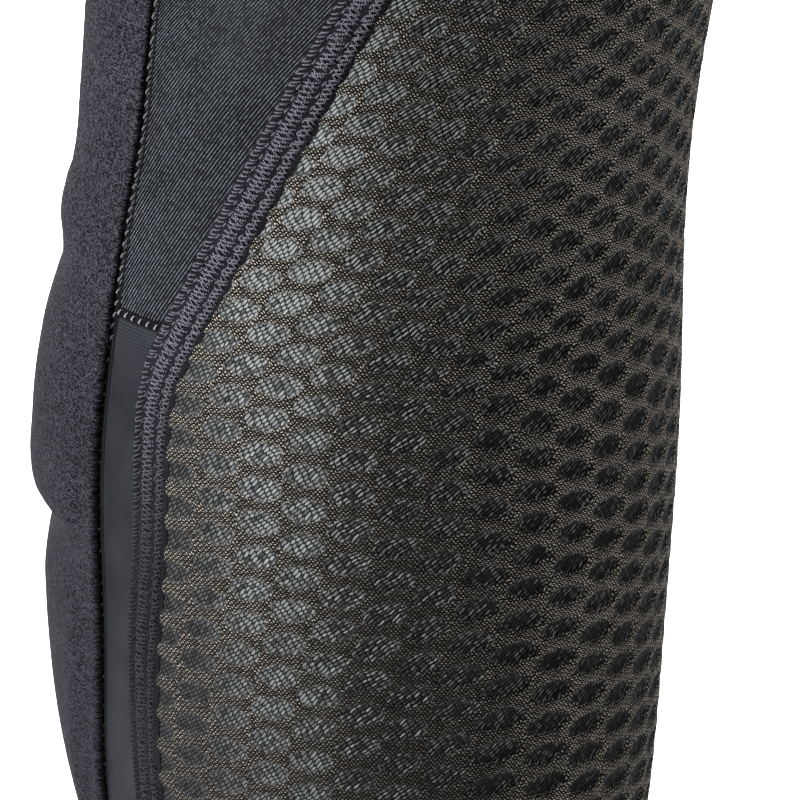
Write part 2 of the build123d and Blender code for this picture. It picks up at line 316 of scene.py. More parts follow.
class MeshParts:
    """Vertices, faces and per-corner maps of one piece, gathered from closed shells."""

    def __init__(self):
        self.points, self.faces, self.maps, self.slots = [], [], {}, []
        self.count = 0

    def add(self, points, faces, maps, slot=0):
        """maps gives, for each name, one (u, v) per face corner."""
        points = np.asarray(points, float).reshape(-1, 3)
        self.points.append(points)
        self.faces += [[v + self.count for v in face] for face in faces]
        self.slots += [slot] * len(faces)
        for name, values in maps.items():
            self.maps.setdefault(name, []).append(values)
        self.count += len(points)

    def build(self, name, materials):
        mesh = bpy.data.meshes.new(name)
        mesh.from_pydata((np.vstack(self.points) * MM).tolist(), [], self.faces)
        for map_name, values in self.maps.items():
            layer = mesh.uv_layers.new(name=map_name)
            layer.data.foreach_set("uv", np.vstack(values).astype(np.float32).ravel())
        for material in materials:
            mesh.materials.append(material)
        mesh.polygons.foreach_set("material_index", self.slots)
        mesh.polygons.foreach_set("use_smooth", [True] * len(mesh.polygons))
        shaped = bmesh.new()
        shaped.from_mesh(mesh)
        bmesh.ops.recalc_face_normals(shaped, faces=shaped.faces)
        shaped.to_mesh(mesh)
        shaped.free()
        mesh.set_sharp_from_angle(angle=math.radians(SHARP_ANGLE))
        obj = bpy.data.objects.new(name, mesh)
        bpy.context.scene.collection.objects.link(obj)
        return obj


def hand_over(piece, node, body="root"):
    """Attaches a piece to the body that it rides on and hides the CAD node that it stands for."""
    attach(piece, body)
    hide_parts(node)


def sheet_shell(outer, inner, maps, wrap=False, hole=None):
    """Points, faces and corner maps of a closed shell between two grids of points.

    The inner grid has every step-th point of the outer one. maps holds a (u, v) grid like
    outer for each map. wrap joins the last column to the first, which lie on each other.
    hole is (first row, last row, first column, last column) of the inner grid's cells
    that are left out, with a rim round them.
    """
    rows, columns = outer.shape[:2]
    few_rows, few_columns = inner.shape[:2]
    step = (rows - 1) // (few_rows - 1)
    wide = columns - 1 if wrap else columns
    few_wide = few_columns - 1 if wrap else few_columns
    outer_points = outer[:, :wide].reshape(-1, 3)
    inner_points = inner[:, :few_wide].reshape(-1, 3)
    corners = []  # (is inner, row, column) of each face's corners

    def inside(i, j):
        return hole and hole[0] <= i < hole[1] and hole[2] <= j < hole[3]

    for i in range(rows - 1):
        for j in range(columns - 1):
            if not inside(i // step, j // step):
                corners.append([(0, i, j), (0, i, j + 1), (0, i + 1, j + 1), (0, i + 1, j)])
    for i in range(few_rows - 1):
        for j in range(few_columns - 1):
            if not inside(i, j):
                corners.append([(1, i, j), (1, i + 1, j), (1, i + 1, j + 1), (1, i, j + 1)])

    def rim(start, end, flip):
        """Faces that close the edge between two neighbouring inner points."""
        (i, j), (m, n) = start, end
        along = [(0, i * step + k * (m - i), j * step + k * (n - j)) for k in range(step + 1)]
        face = along + [(1, m, n), (1, i, j)]
        corners.append(face[::-1] if flip else face)

    def close(block, flip, sides=True):
        """Faces round a block: its first and last row, and its first and last column."""
        first_row, last_row, first_column, last_column = block
        for j in range(first_column, last_column):
            rim((first_row, j), (first_row, j + 1), not flip)
            rim((last_row, j), (last_row, j + 1), flip)
        for i in range(first_row, last_row) if sides else ():
            rim((i, first_column), (i + 1, first_column), flip)
            rim((i, last_column), (i + 1, last_column), not flip)

    close((0, few_rows - 1, 0, few_columns - 1), False, sides=not wrap)
    if hole:
        close(hole, True)

    shift = len(outer_points)
    faces = [
        [shift + i * few_wide + j % few_wide if back else i * wide + j % wide for back, i, j in face]
        for face in corners
    ]
    flat = np.array([corner for face in corners for corner in face])
    scale = np.where(flat[:, 0] == 1, step, 1)
    at = (flat[:, 1] * scale, flat[:, 2] * scale)
    corner_maps = {name: values[at] for name, values in maps.items()}
    points = np.vstack([outer_points, inner_points])
    if hole:
        used = np.unique([v for face in faces for v in face])
        place = np.full(len(points), -1)
        place[used] = np.arange(len(used))
        points = points[used]
        faces = [[int(place[v]) for v in face] for face in faces]
    return points, faces, corner_maps


def add_sheet(parts, turn, height, lift_out, lift_in, step, maps=None, **options):
    """Adds a shell of the sleeve, from grids of turn and height and its two lifts."""
    turn, height = np.broadcast_arrays(turn, height)
    outer = surface(turn, height, lift_out)
    inner = surface(turn, height, lift_in)[::step, ::step]
    all_maps = {"weave": weave_map(turn, height), **(maps or {})}
    parts.add(*sheet_shell(outer, inner, all_maps, **options))


def grid(low, high, rows, left, right, columns):
    """Grids of turn and height between two edges given as functions of height."""
    height = np.linspace(low, high, rows)[:, None]
    share = np.linspace(0, 1, columns)[None, :]
    turn = left(height) * (1 - share) + right(height) * share
    return np.broadcast_arrays(turn, height)


def add_threads(parts, paths, radius, sides=6, slot=0):
    """Adds round threads: paths is (thread, point, axis), all with as many points."""
    paths = np.asarray(paths, float)
    threads, length = paths.shape[:2]
    along = np.gradient(paths, axis=1)
    along /= np.linalg.norm(along, axis=2, keepdims=True)
    middle = paths.mean(axis=1, keepdims=True)
    out = middle * [1, 1, 0] + along * 1e-6
    side = np.cross(along, out)
    side /= np.linalg.norm(side, axis=2, keepdims=True)
    up = np.cross(side, along)
    angles = np.arange(sides) * 2 * math.pi / sides
    taper = np.ones(length)
    taper[[0, -1]] = 0.45
    ring = np.cos(angles)[:, None] * side[:, :, None] + np.sin(angles)[:, None] * up[:, :, None]
    points = paths[:, :, None] + radius * taper[:, None, None] * ring
    faces = []
    for first in range(0, threads * length * sides, length * sides):
        for i in range(first, first + (length - 1) * sides, sides):
            for k in range(sides):
                n = (k + 1) % sides
                faces.append([i + k, i + n, i + sides + n, i + sides + k])
        faces.append([first + k for k in range(sides)][::-1])
        faces.append([first + (length - 1) * sides + k for k in range(sides)])
    share = np.linspace(0, 1, length)
    lengthwise = np.repeat(np.tile(share, threads), sides)
    which = np.repeat(np.arange(threads) * 0.37, length * sides)
    flat = [v for face in faces for v in face]
    parts.add(points, faces, {"weave": np.stack([which[flat], lengthwise[flat]], -1)}, slot)


# --- Materials ------------------------------------------------------------------------


class Field:
    """A number that varies over a surface, made by shader nodes."""

    def __init__(self, tree, socket):
        self.tree, self.socket = tree, socket

    def math(self, operation, *others):
        node = self.tree.nodes.new("ShaderNodeMath")
        node.operation = operation
        for slot, value in zip(node.inputs, (self, *others)):
            if isinstance(value, Field):
                self.tree.links.new(value.socket, slot)
            else:
                slot.default_value = value
        return Field(self.tree, node.outputs[0])

    def __add__(self, other):
        return self.math("ADD", other)

    def __sub__(self, other):
        return self.math("SUBTRACT", other)

    def __mul__(self, other):
        return self.math("MULTIPLY", other)

    def __truediv__(self, other):
        return self.math("DIVIDE", other)

    def fraction(self):
        return self.math("FRACT")

    def floor(self):
        return self.math("FLOOR")

    def absolute(self):
        return self.math("ABSOLUTE")

    def power(self, exponent):
        return self.math("POWER", exponent)

    def least(self, other):
        return self.math("MINIMUM", other)

    def most(self, other):
        return self.math("MAXIMUM", other)

    def wave(self):
        """A ridge from 0 to 1 and back over each whole number."""
        return (self * (2 * math.pi)).math("SINE") * 0.5 + 0.5

    def off_middle(self):
        """0 in the middle of each whole step and 1 at its ends."""
        return ((self.fraction() - 0.5) * 2).absolute()

    def ramp(self, low, high):
        """0 below low, 1 above high and smooth between them."""
        node = self.tree.nodes.new("ShaderNodeMapRange")
        node.interpolation_type = "SMOOTHSTEP"
        self.tree.links.new(self.socket, node.inputs["Value"])
        node.inputs["From Min"].default_value = low
        node.inputs["From Max"].default_value = high
        return Field(self.tree, node.outputs["Result"])


class Finish:
    """One procedural material and the nodes that it is made of."""

    def __init__(self, name, **values):
        self.material = bpy.data.materials.new(name)
        self.material.use_nodes = True
        self.tree = self.material.node_tree
        self.shader = self.tree.nodes["Principled BSDF"]
        for socket, value in values.items():
            self.shader.inputs[socket.replace("_", " ")].default_value = value

    def node(self, kind, **settings):
        made = self.tree.nodes.new("ShaderNode" + kind)
        for key, value in settings.items():
            setattr(made, key, value)
        return made

    def map(self, name):
        """The two fields of a map, in the map's own units."""
        split = self.node("SeparateXYZ")
        self.tree.links.new(self.node("UVMap", uv_map=name).outputs["UV"], split.inputs[0])
        return Field(self.tree, split.outputs["X"]), Field(self.tree, split.outputs["Y"])

    def place(self):
        """The point on the object, in metres."""
        return self.node("TexCoord").outputs["Object"]

    def height(self):
        """How high up the sleeve a point is, in millimetres."""
        split = self.node("SeparateXYZ")
        self.tree.links.new(self.place(), split.inputs[0])
        return Field(self.tree, split.outputs["Z"]) / MM

    def noise(self, scale, detail):
        """A smooth random field from about 0.25 to 0.75; scale is in bumps per metre."""
        made = self.node("TexNoise")
        made.inputs["Scale"].default_value = scale
        made.inputs["Detail"].default_value = detail
        self.tree.links.new(self.place(), made.inputs["Vector"])
        return Field(self.tree, made.outputs["Fac"])

    def speckle(self, u, v):
        """A random number from 0 to 1 for each pair of whole numbers."""
        join = self.node("CombineXYZ")
        self.tree.links.new(u.floor().socket, join.inputs["X"])
        self.tree.links.new(v.floor().socket, join.inputs["Y"])
        made = self.node("TexWhiteNoise", noise_dimensions="2D")
        self.tree.links.new(join.outputs[0], made.inputs["Vector"])
        return Field(self.tree, made.outputs["Value"])

    def blend(self, share, low, high):
        """A colour between two, each a colour or another blend."""
        made = self.node("Mix", data_type="RGBA")
        self.tree.links.new(share.socket, made.inputs[0])
        for slot, value in ((6, low), (7, high)):
            if isinstance(value, tuple):
                made.inputs[slot].default_value = (*value, 1)
            else:
                self.tree.links.new(value, made.inputs[slot])
        return made.outputs[2]

    def paint(self, share, dark, light):
        """Colours the surface, from dark where the share is 0 to light where it is 1."""
        self.tree.links.new(self.blend(share, dark, light), self.shader.inputs["Base Color"])

    def roughness(self, field):
        self.tree.links.new(field.socket, self.shader.inputs["Roughness"])

    def bump(self, height, depth):
        """Depth in millimetres for a height field of 0 to 1."""
        made = self.node("Bump")
        made.inputs["Distance"].default_value = depth * MM
        made.inputs["Strength"].default_value = 1.0
        self.tree.links.new(height.socket, made.inputs["Height"])
        self.tree.links.new(made.outputs["Normal"], self.shader.inputs["Normal"])


def fabric(name, roughness, specular=0.04, sheen=0.004, sheen_roughness=0.4):
    """A finish with the weak shine of yarn."""
    return Finish(
        name,
        Roughness=roughness,
        Specular_IOR_Level=specular,
        Sheen_Weight=sheen,
        Sheen_Roughness=sheen_roughness,
    )


def knit(u, v, pitch_u, pitch_v, slant):
    """Height of plain knitting: legs of stitches that lean left and right in turn."""
    leg = (u / pitch_u).off_middle()
    stripes = (v / pitch_v + leg * slant).wave()
    gap = (leg * 2 - 1).absolute()
    return stripes * (gap * -0.55 + 1.0) + gap * -0.1


COLUMN_PITCH, ROW_PITCH = 6.55, 5.09
CELL_HALF_WIDTH, CELL_HALF_HEIGHT = 3.35, 1.72
CELL_POINT, CELL_ROUND = 1.55, 1.8  # powers of a cell's outline along and across it
COURSE_PITCH, LEG_PITCH, STITCH_PITCH = 0.50, 0.90, 0.60
COURSE_SWING = 0.45
FILAMENT_PITCH, FILAMENT_LENGTH, FILAMENT_SLOPE = 0.66, 0.84, 0.66
# From the middle of the back, in millimetres round the sleeve: where the filaments' painted highlight
# starts, where they get thin, and where their painted highlight fades and the ground gets a painted
# sheen towards the palm.
PAINTED_HIGHLIGHT_FADE, SLIM_FADE, PALM_FADE = (60.0, 73.0), (78.0, 90.0), (92.0, 123.0)
# painted shade: below these heights the mesh is painted darker, as less light falls low on the sleeve
MESH_PAINTED_SHADE_HEIGHTS = (135, 255)  # the mesh gets lighter between these heights


def make_spacer_mesh():
    finish = Finish("spacer_mesh", Specular_IOR_Level=0.09)
    u, v = finish.map("weave")
    column, row = finish.map("cells")
    nearest = (column + 0.5).floor()
    across = column - nearest
    odd = (nearest * 0.5).fraction()
    along = row - odd
    up = along - (along + 0.5).floor()
    reach = (
        (across * (COLUMN_PITCH / CELL_HALF_WIDTH)).absolute().power(CELL_POINT)
        + (up * (ROW_PITCH / CELL_HALF_HEIGHT)).absolute().power(CELL_ROUND)
    )
    cell = (reach + (finish.noise(900, 2) - 0.5) * 1.3).ramp(1.6, 0.45)
    from_back = u.least(u * -1 + 2 * math.pi * WEAVE_RADIUS)
    palm = from_back.ramp(*PALM_FADE)
    # painted shade: the mesh's colour is darker low on the sleeve
    level = finish.height().ramp(*MESH_PAINTED_SHADE_HEIGHTS) * 0.85 + 0.5

    # courses of knitting, which swing round the cells
    round_u, round_v = finish.map("courses")
    near = (across * (COLUMN_PITCH / 4.0)).power(2).math("MULTIPLY", -1).math("EXPONENT")
    swing = (up * (2 * math.pi)).math("SINE") * near * -COURSE_SWING
    course = (round_v + swing) / COURSE_PITCH
    leg = course + (round_u / LEG_PITCH).off_middle() * 0.5
    dash = (round_u / STITCH_PITCH + leg.floor() * 0.5).wave()
    thread = leg.wave() * (dash * 0.75 + 0.25)
    stitch = finish.speckle(round_u / STITCH_PITCH, leg)
    patchy = finish.noise(420, 3)
    # painted light and shade on the ground: darker past 70 mm round towards the middle of the side, and
    # painted much lighter towards the palm
    shade = from_back.ramp(70.0, PALM_FADE[0]) * -0.78 + palm * 2.0 + 1.35
    bright = thread.ramp(0.35, 0.9) * (stitch + patchy * 0.5) * level * shade
    # the ground's yarn colour gets a painted sheen, lighter towards the palm
    yarn_with_painted_sheen = finish.blend(palm, (0.226, 0.199, 0.164), (0.41, 0.365, 0.310))
    ground_colour = finish.blend(bright, (0.0003, 0.0002, 0.0001), yarn_with_painted_sheen)

    # bright slanting filaments in the cells: fat beside the seam and thin towards the palm; their
    # brightness is painted highlight, from random glints and a painted band of highlight beside the
    # seam
    thin = from_back.ramp(*SLIM_FADE)
    wobble = (patchy - 0.5) * 1.1
    facet_v = (v - u * FILAMENT_SLOPE + wobble) / FILAMENT_PITCH
    facet_u = (u + wobble) / FILAMENT_LENGTH + facet_v.floor() * 0.36
    facet = (
        facet_u.off_middle().power(2.0) + facet_v.off_middle().power(1.8) * (thin * 1.6 + 1.0)
    ).ramp(1.15, 0.35)
    glint = finish.speckle(facet_u, facet_v).power(thin * 2.2 + 0.6) * (thin * 1.6 + 1.2) + 0.1
    # painted highlight in a band beside the seam, fading towards the palm
    painted_highlight = from_back.ramp(*PAINTED_HIGHLIGHT_FADE) * (thin * -0.08 + 0.72) * (palm * -0.6 + 1.0)
    # the filaments' painted highlight is stronger near the top of the sleeve
    shine = facet * glint * level * (painted_highlight + 0.2 + finish.height().ramp(205, 250) * 0.7)
    cell_colour = finish.blend(shine, (0.0002, 0.0003, 0.0006), (0.100, 0.107, 0.109))

    finish.paint(cell, ground_colour, cell_colour)
    finish.roughness(cell * (palm * 0.45 - 0.45) + 0.85)
    finish.bump(thread * 0.5 * (cell * -1 + 1) + facet * cell * 0.5, 0.42)
    return finish.material


def make_satin_rib():
    finish = Finish("satin_rib", Specular_IOR_Level=0.02)
    u, v = finish.map("weave")
    angle = math.radians(57)
    across = (u * -math.sin(angle) + v * math.cos(angle)) / 0.52
    along = (u * math.cos(angle) + v * math.sin(angle)) / 0.44
    rib = across.wave()
    bead = (along + across.floor() * 0.37).wave()
    height = rib.power(3.6) * (bead * 0.6 + 0.4)
    patchy = finish.noise(120, 2)
    bright = height * (finish.speckle(across, along) * 0.8 + patchy * 0.8)
    finish.paint(bright, (0.0002, 0.0003, 0.0006), (0.095, 0.102, 0.118))
    finish.roughness(height * -0.12 + 0.5)
    finish.bump(height, 0.2)
    return finish.material


def make_smooth_knit():
    finish = fabric("smooth_knit", 0.62, 0.03, sheen_roughness=0.35)
    u, v = finish.map("weave")
    fold = finish.map("seams")[1]
    rows = (v / 0.5).wave()
    near = fold.ramp(9.0, 1.0)
    dots = knit(u, v, 0.42, 0.42, 1.0)
    patchy = finish.noise(150, 3)
    height = rows * near + dots * (near * -0.6 + 0.85)
    share = (height * 0.5 + patchy * 0.7).ramp(0.1, 1.1)
    finish.paint(share, (0.0028, 0.0033, 0.0042), (0.0125, 0.0135, 0.0165))
    finish.bump(height, 0.07)
    return finish.material


def make_brushed_knit():
    finish = fabric("brushed_knit", 0.85, 0.02, sheen_roughness=0.5)
    u, v = finish.map("weave")
    stitches = knit(u, v, 0.62, 0.5, 0.6)
    fuzz = finish.noise(4800, 2)
    patchy = finish.noise(90, 3)
    grain = finish.speckle(u / 0.31 + v * 0.5, v / 0.25)
    height = stitches * 0.5 + fuzz * 0.5 + grain * 0.25
    rough = stitches * 0.5 + fuzz * 1.6 + grain * 0.9 - 1.55
    # painted shade: the cover's tone is painted lighter towards the top and darker lower on the sleeve,
    # where less light falls; the speckle's contrast also grows upwards
    contrast = finish.height().ramp(150, 260) * 0.35 + 0.4
    tone = rough * contrast * 1.3 + finish.height().ramp(180, 260) * 0.1 + 0.36 + (patchy - 0.5) * 0.15
    finish.paint(tone, (0.0006, 0.0005, 0.0008), (0.028, 0.0265, 0.0340))
    finish.bump(height, 0.12)
    return finish.material


def make_thread(name, dark, light, roughness=0.45, painted_low_shade=1.0):
    """Spun thread, with its plies wound round it; the last argument is how dark it is painted low on
    the sleeve, a painted shade where less light falls.
    """
    finish = fabric(name, roughness)
    which, along = finish.map("weave")
    ply = (along * 7 + which * 3).wave()
    fibres = finish.noise(3800, 2)
    # painted shade: darker low on the sleeve
    level = finish.height().ramp(175, 225) * (1 - painted_low_shade) + painted_low_shade
    finish.paint((ply * 0.6 + fibres * 0.8).ramp(0.2, 1.1) * level, dark, light)
    finish.bump(ply * 0.5 + fibres * 0.5, 0.06)
    return finish.material


def make_plain_knit(name, dark, light, pitch, depth=0.12):
    finish = fabric(name, 0.8, 0.03, sheen_roughness=0.5)
    u, v = finish.map("weave")
    stitches = knit(u, v, pitch, pitch * 0.8, 0.6)
    patchy = finish.noise(140, 3)
    finish.paint((stitches * 0.7 + patchy * 0.6).ramp(0.15, 1.1), dark, light)
    finish.bump(stitches, depth)
    return finish.material


# --- Knitted panels -------------------------------------------------------------------

THUMB_CENTRE, THUMB_HALF = (7.0, 29.0), (11.2, 15.2)
FIRST_COLUMN, FIRST_ROW = 66.3, 161.9
PALM_START, PALM_REACH = 101.7, 30.0
COURSE_TILT, COURSE_REACH = 0.45, 22.0  # how steeply courses fall away from the seam
SEAM_LEAN, LEAN_REACH = 1.258, 565.0  # how columns follow the seam, and over what distance
NARROWING = 0.40  # how much nearer together columns are above the bend of the seam
LOW_SPREAD, ROW_SQUEEZE = 0.346, 0.00118  # how columns and rows change towards the palm
ROW_RISE, ROW_SLOPE = 0.089, 0.076  # how rows change above the bend, up and aside
RELIEF, PALM_RELIEF = 0.26, 0.56  # depth of the cells beside the seam and over the palm
GROUND_RISE, EDGE_DIP = 0.2, 0.15  # of the ground over the wall, and of its edge under that


def cell_map(turn, height):
    """Column and row of the mesh's cells: their centres are at whole columns, with every
    other column half a row further up. Columns lean with the flatlock seam beside them,
    and rows tilt towards the palm."""
    along = WEAVE_RADIUS * turn
    seam = WEAVE_RADIUS * flatlock_turn(height)
    from_seam = along - seam
    seam_lean = SEAM_LEAN * (seam - WEAVE_RADIUS * flatlock_turn(200.0))
    palm = PALM_REACH * (1 - np.exp(-np.maximum(along - PALM_START, 0) / PALM_REACH))
    spread = LOW_SPREAD * palm * (np.clip(height, 130, 200) - 200) / 50
    pitch = COLUMN_PITCH - NARROWING * smooth_step(200, 240, height)
    column = (along - FIRST_COLUMN - seam_lean * (1 - from_seam / LEAN_REACH) + spread) / pitch
    rise = ROW_RISE * np.maximum(height - 224, 0)
    rise = rise + ROW_SLOPE * smooth_step(205, 225, height) * from_seam
    squeeze = ROW_SQUEEZE * palm * np.maximum(height - FIRST_ROW, -40)
    squeeze = squeeze * (1 - smooth_step(195, 225, height))
    row = (height - FIRST_ROW + rise) / ROW_PITCH + squeeze
    return np.stack(np.broadcast_arrays(column, row), -1)


def cell_share(cells):
    """1 in the floor of a cell and 0 on the raised ground between cells."""
    column, row = cells[..., 0], cells[..., 1]
    nearest = np.floor(column + 0.5)
    up = row - 0.5 * (nearest % 2)
    up = up - np.floor(up + 0.5)
    reach = (
        np.abs((column - nearest) * COLUMN_PITCH / CELL_HALF_WIDTH) ** CELL_POINT
        + np.abs(up * ROW_PITCH / CELL_HALF_HEIGHT) ** CELL_ROUND
    )
    return 1 - smooth_step(0.55, 1.3, reach)


def add_mesh_panel():
    step, few_rows, few_columns = 4, 109, 57
    rows, columns = (few_rows - 1) * step + 1, (few_columns - 1) * step + 1
    turn, height = grid(
        HEM_TOP, CUFF_BOTTOM, rows, flatlock_turn, lambda z: 2 * math.pi - flatlock_turn(z), columns
    )
    # the block of cells that becomes the thumb hole
    y = centre_at(height) - (half_depth_at(height) + WALL) * np.cos(turn)
    square = np.maximum(
        np.abs(y - THUMB_CENTRE[0]) / THUMB_HALF[0], np.abs(height - THUMB_CENTRE[1]) / THUMB_HALF[1]
    )
    chosen = np.argwhere((square < 1) & (turn < math.pi))
    low, high = (np.round(end / step).astype(int) for end in (chosen.min(0), chosen.max(0)))
    hole = (low[0], high[0], low[1], high[1])
    turn, height = fit_block_to_hole(turn, height, [n * step for n in hole])
    cells = cell_map(turn, height)
    recess = cell_share(cells)
    relief = RELIEF + (PALM_RELIEF - RELIEF) * smooth_step(125, 150, np.degrees(turn))
    seam = flatlock_turn(height)
    edge = np.minimum(np.abs(turn - seam), np.abs(2 * math.pi - seam - turn))
    lift = WALL + GROUND_RISE - relief * recess - EDGE_DIP * (1 - smooth_step(0, 0.09, edge))
    from_seam = WEAVE_RADIUS * (turn - seam)
    tilt = COURSE_TILT * COURSE_REACH * (1 - np.exp(-np.maximum(from_seam, 0) / COURSE_REACH))
    maps = {"cells": cells, "courses": weave_map(turn, height + tilt)}
    parts = MeshParts()
    add_sheet(parts, turn, height, lift, 0.0, step, maps, hole=hole)
    panel = parts.build("mesh_panel_knit", [make_spacer_mesh()])
    hand_over(panel, "mesh_panel")


def fit_block_to_hole(turn, height, block):
    """Moves points so that a block of the grid (first and last row, first and last column)
    has its border on the thumb hole's edge, and the grid round it follows smoothly."""
    rows, columns = turn.shape
    i, j = np.mgrid[0:rows, 0:columns].astype(float)
    middle_i, half_i = (block[0] + block[1]) / 2, (block[1] - block[0]) / 2
    middle_j, half_j = (block[2] + block[3]) / 2, (block[3] - block[2]) / 2
    up, across = (i - middle_i) / half_i, (j - middle_j) / half_j
    square = np.maximum(np.abs(across), np.abs(up))
    circle = np.maximum(np.hypot(across, up), 1e-9)
    share = 1 - smooth_step(1.0, 1.9, square)
    target_height = THUMB_CENTRE[1] + up * square / circle * THUMB_HALF[1]
    target_turn = turn_of(THUMB_CENTRE[0] + across * square / circle * THUMB_HALF[0], target_height)
    turn = turn + (target_turn - turn) * share
    height = height + (target_height - height) * share
    return turn, np.clip(height, HEM_TOP, CUFF_BOTTOM)


def add_gussets():
    gussets = (
        ("lower", HEM_TOP, CROSS_SEAM, make_smooth_knit(), "smooth_knit"),
        ("upper", CROSS_SEAM, CUFF_BOTTOM, make_satin_rib(), "satin_rib"),
    )
    for side, sign in SIDES:
        for level, low, high, finish, slot in gussets:
            rows = int((high - low) / 4) * 4 + 1
            turn, height = grid(low, high, rows, cover_turn, flatlock_turn, 33)
            from_cross = np.abs(height - CROSS_SEAM)
            along = WEAVE_RADIUS * turn
            pucker = 0.5 + 0.5 * np.sin(2 * math.pi * along / 2.7)
            lift = WALL - 0.35 * np.exp(-from_cross / 0.7)
            lift = lift - 0.08 * pucker * np.exp(-from_cross / 2.5)
            seams = np.stack([along - WEAVE_RADIUS * cover_turn(height), from_cross], -1)
            parts = MeshParts()
            add_sheet(parts, sign * turn, height, lift, 0.0, 4, {"seams": seams})
            gusset = parts.build(f"{level}_gusset_{side}_knit", [finish])
            hand_over(gusset, f"{level}_gusset_{side}")


# --- Seams ----------------------------------------------------------------------------

SEAM_LOW, SEAM_HIGH = HEM_TOP + 0.2, CUFF_BOTTOM - 0.2
SEAM_HALF = 3.5  # half-width of the flatlock
STITCH_RADIUS = 0.16


def seam_frame(line_turn, pitch):
    """Evenly spaced places along a seam: turn, height and the direction across it."""
    fine = np.linspace(SEAM_LOW, SEAM_HIGH, 1200)
    turn = line_turn(fine)
    steps = np.hypot(np.diff(turn) * reach_per_turn(turn[1:], fine[1:]), np.diff(fine))
    travelled = np.concatenate([[0], np.cumsum(steps)])
    count = int(travelled[-1] / pitch)
    height = np.interp((np.arange(count) + 0.5) * travelled[-1] / count, travelled, fine)
    turn = line_turn(height)
    reach = reach_per_turn(turn, height)
    lean = (line_turn(height + 0.5) - line_turn(height - 0.5)) * reach
    return turn, height, reach, np.stack([np.ones_like(lean), -lean], -1) / np.hypot(1, lean)[:, None]


def seam_paths(place, across, along, lift, sign):
    """Thread paths near a seam's places: across, along and lift list one path's points."""
    turn, height, reach, over = (v[:, None] for v in place)
    across, along, lift = (np.atleast_2d(v) for v in (across, along, lift))
    over_turn, over_height = over[..., 0], over[..., 1]
    step_turn = (across * over_turn - along * over_height) / reach
    step_height = across * over_height + along * over_turn
    points_height = np.clip(height + step_height, SEAM_LOW, SEAM_HIGH)
    return surface(sign * (turn + step_turn), points_height, WALL + lift)


def arch(points, rise, foot=0.0):
    """Lifts of a thread that comes out of the cloth, passes over it and goes back in."""
    return foot + rise * np.sin(np.linspace(0, math.pi, points)) ** 0.6


# Crossing threads of the flatlock: where across the seam, half-width, pitch along the seam,
# lean and radius.
RUNGS = (
    (-0.25, 1.2, 0.72, 0.42, 0.16),
    (-0.25, 1.15, 0.78, -0.38, 0.16),
    (2.15, 0.72, 0.72, 0.38, 0.15),
    (2.2, 0.7, 0.78, -0.34, 0.15),
    (-2.5, 0.6, 0.7, 0.3, 0.14),
)
# Its rows of loops along the seam: where across it, and how far they stand up.
LOOP_ROWS = ((-1.75, 0.2), (1.35, 0.22), (-3.05, 0.12))
LOOP_PITCH = 1.9
GROOVES = (1.35, -1.75)  # where the flatlock's band dips


def add_flatlock_seams():
    base = make_plain_knit("flatlock_base", (0.0003, 0.0003, 0.0006), (0.012, 0.0115, 0.015), 0.5)
    thread = make_thread(
        "flatlock_thread", (0.0008, 0.0008, 0.0013), (0.082, 0.078, 0.095), 0.7, painted_low_shade=0.2
    )
    for side, sign in SIDES:
        parts = MeshParts()
        turn, height, reach, over = seam_frame(flatlock_turn, 0.8)
        across = np.linspace(-SEAM_HALF, SEAM_HALF, 17)[None, :]
        crown = 0.05 + 0.3 * (1 - (across / SEAM_HALF) ** 4) ** 0.5
        for groove in GROOVES:
            crown = crown - 0.2 * np.exp(-(((across - groove) / 0.35) ** 2))
        band_turn = turn[:, None] + across * over[:, :1] / reach[:, None]
        band_height = np.clip(height[:, None] + across * over[:, 1:], HEM_TOP, CUFF_BOTTOM)
        rows = (len(turn) - 1) // 4 * 4 + 1
        add_sheet(parts, sign * band_turn[:rows], band_height[:rows], WALL + crown, WALL - 0.4, 4)

        random = np.random.default_rng(7)
        share = np.linspace(-1, 1, 6)
        for where, half, pitch, lean, radius in RUNGS:
            rungs = seam_frame(flatlock_turn, pitch)
            wobble = random.normal(0, 0.1, (len(rungs[0]), 2, 1))
            across = where + half * share + wobble[:, 0]
            along = lean * share + wobble[:, 1] + pitch / 2 * (lean < 0)
            lift = arch(6, 0.34, 0.16) + wobble[:, 0] * 0.3
            add_threads(parts, seam_paths(rungs, across, along, lift, sign), radius, sides=5, slot=1)
        along = np.linspace(-0.5, 0.5, 5)
        for where, rise in LOOP_ROWS:
            loops = seam_frame(flatlock_turn, LOOP_PITCH)
            wobble = random.normal(0, 0.08, (len(loops[0]), 1))
            across = where + 0.3 * along + wobble
            paths = seam_paths(loops, across, along + wobble, arch(5, rise, 0.05), sign)
            add_threads(parts, paths, 0.15, slot=1)
        seam = parts.build(f"flatlock_threads_{side}", [base, thread])
        hand_over(seam, f"flatlock_seam_{side}")


def groove_edge(height):
    """The turn of the far side of the groove beside the cover's edge."""
    return cover_turn(height) + 1.5 / reach_per_turn(cover_turn(height), height)


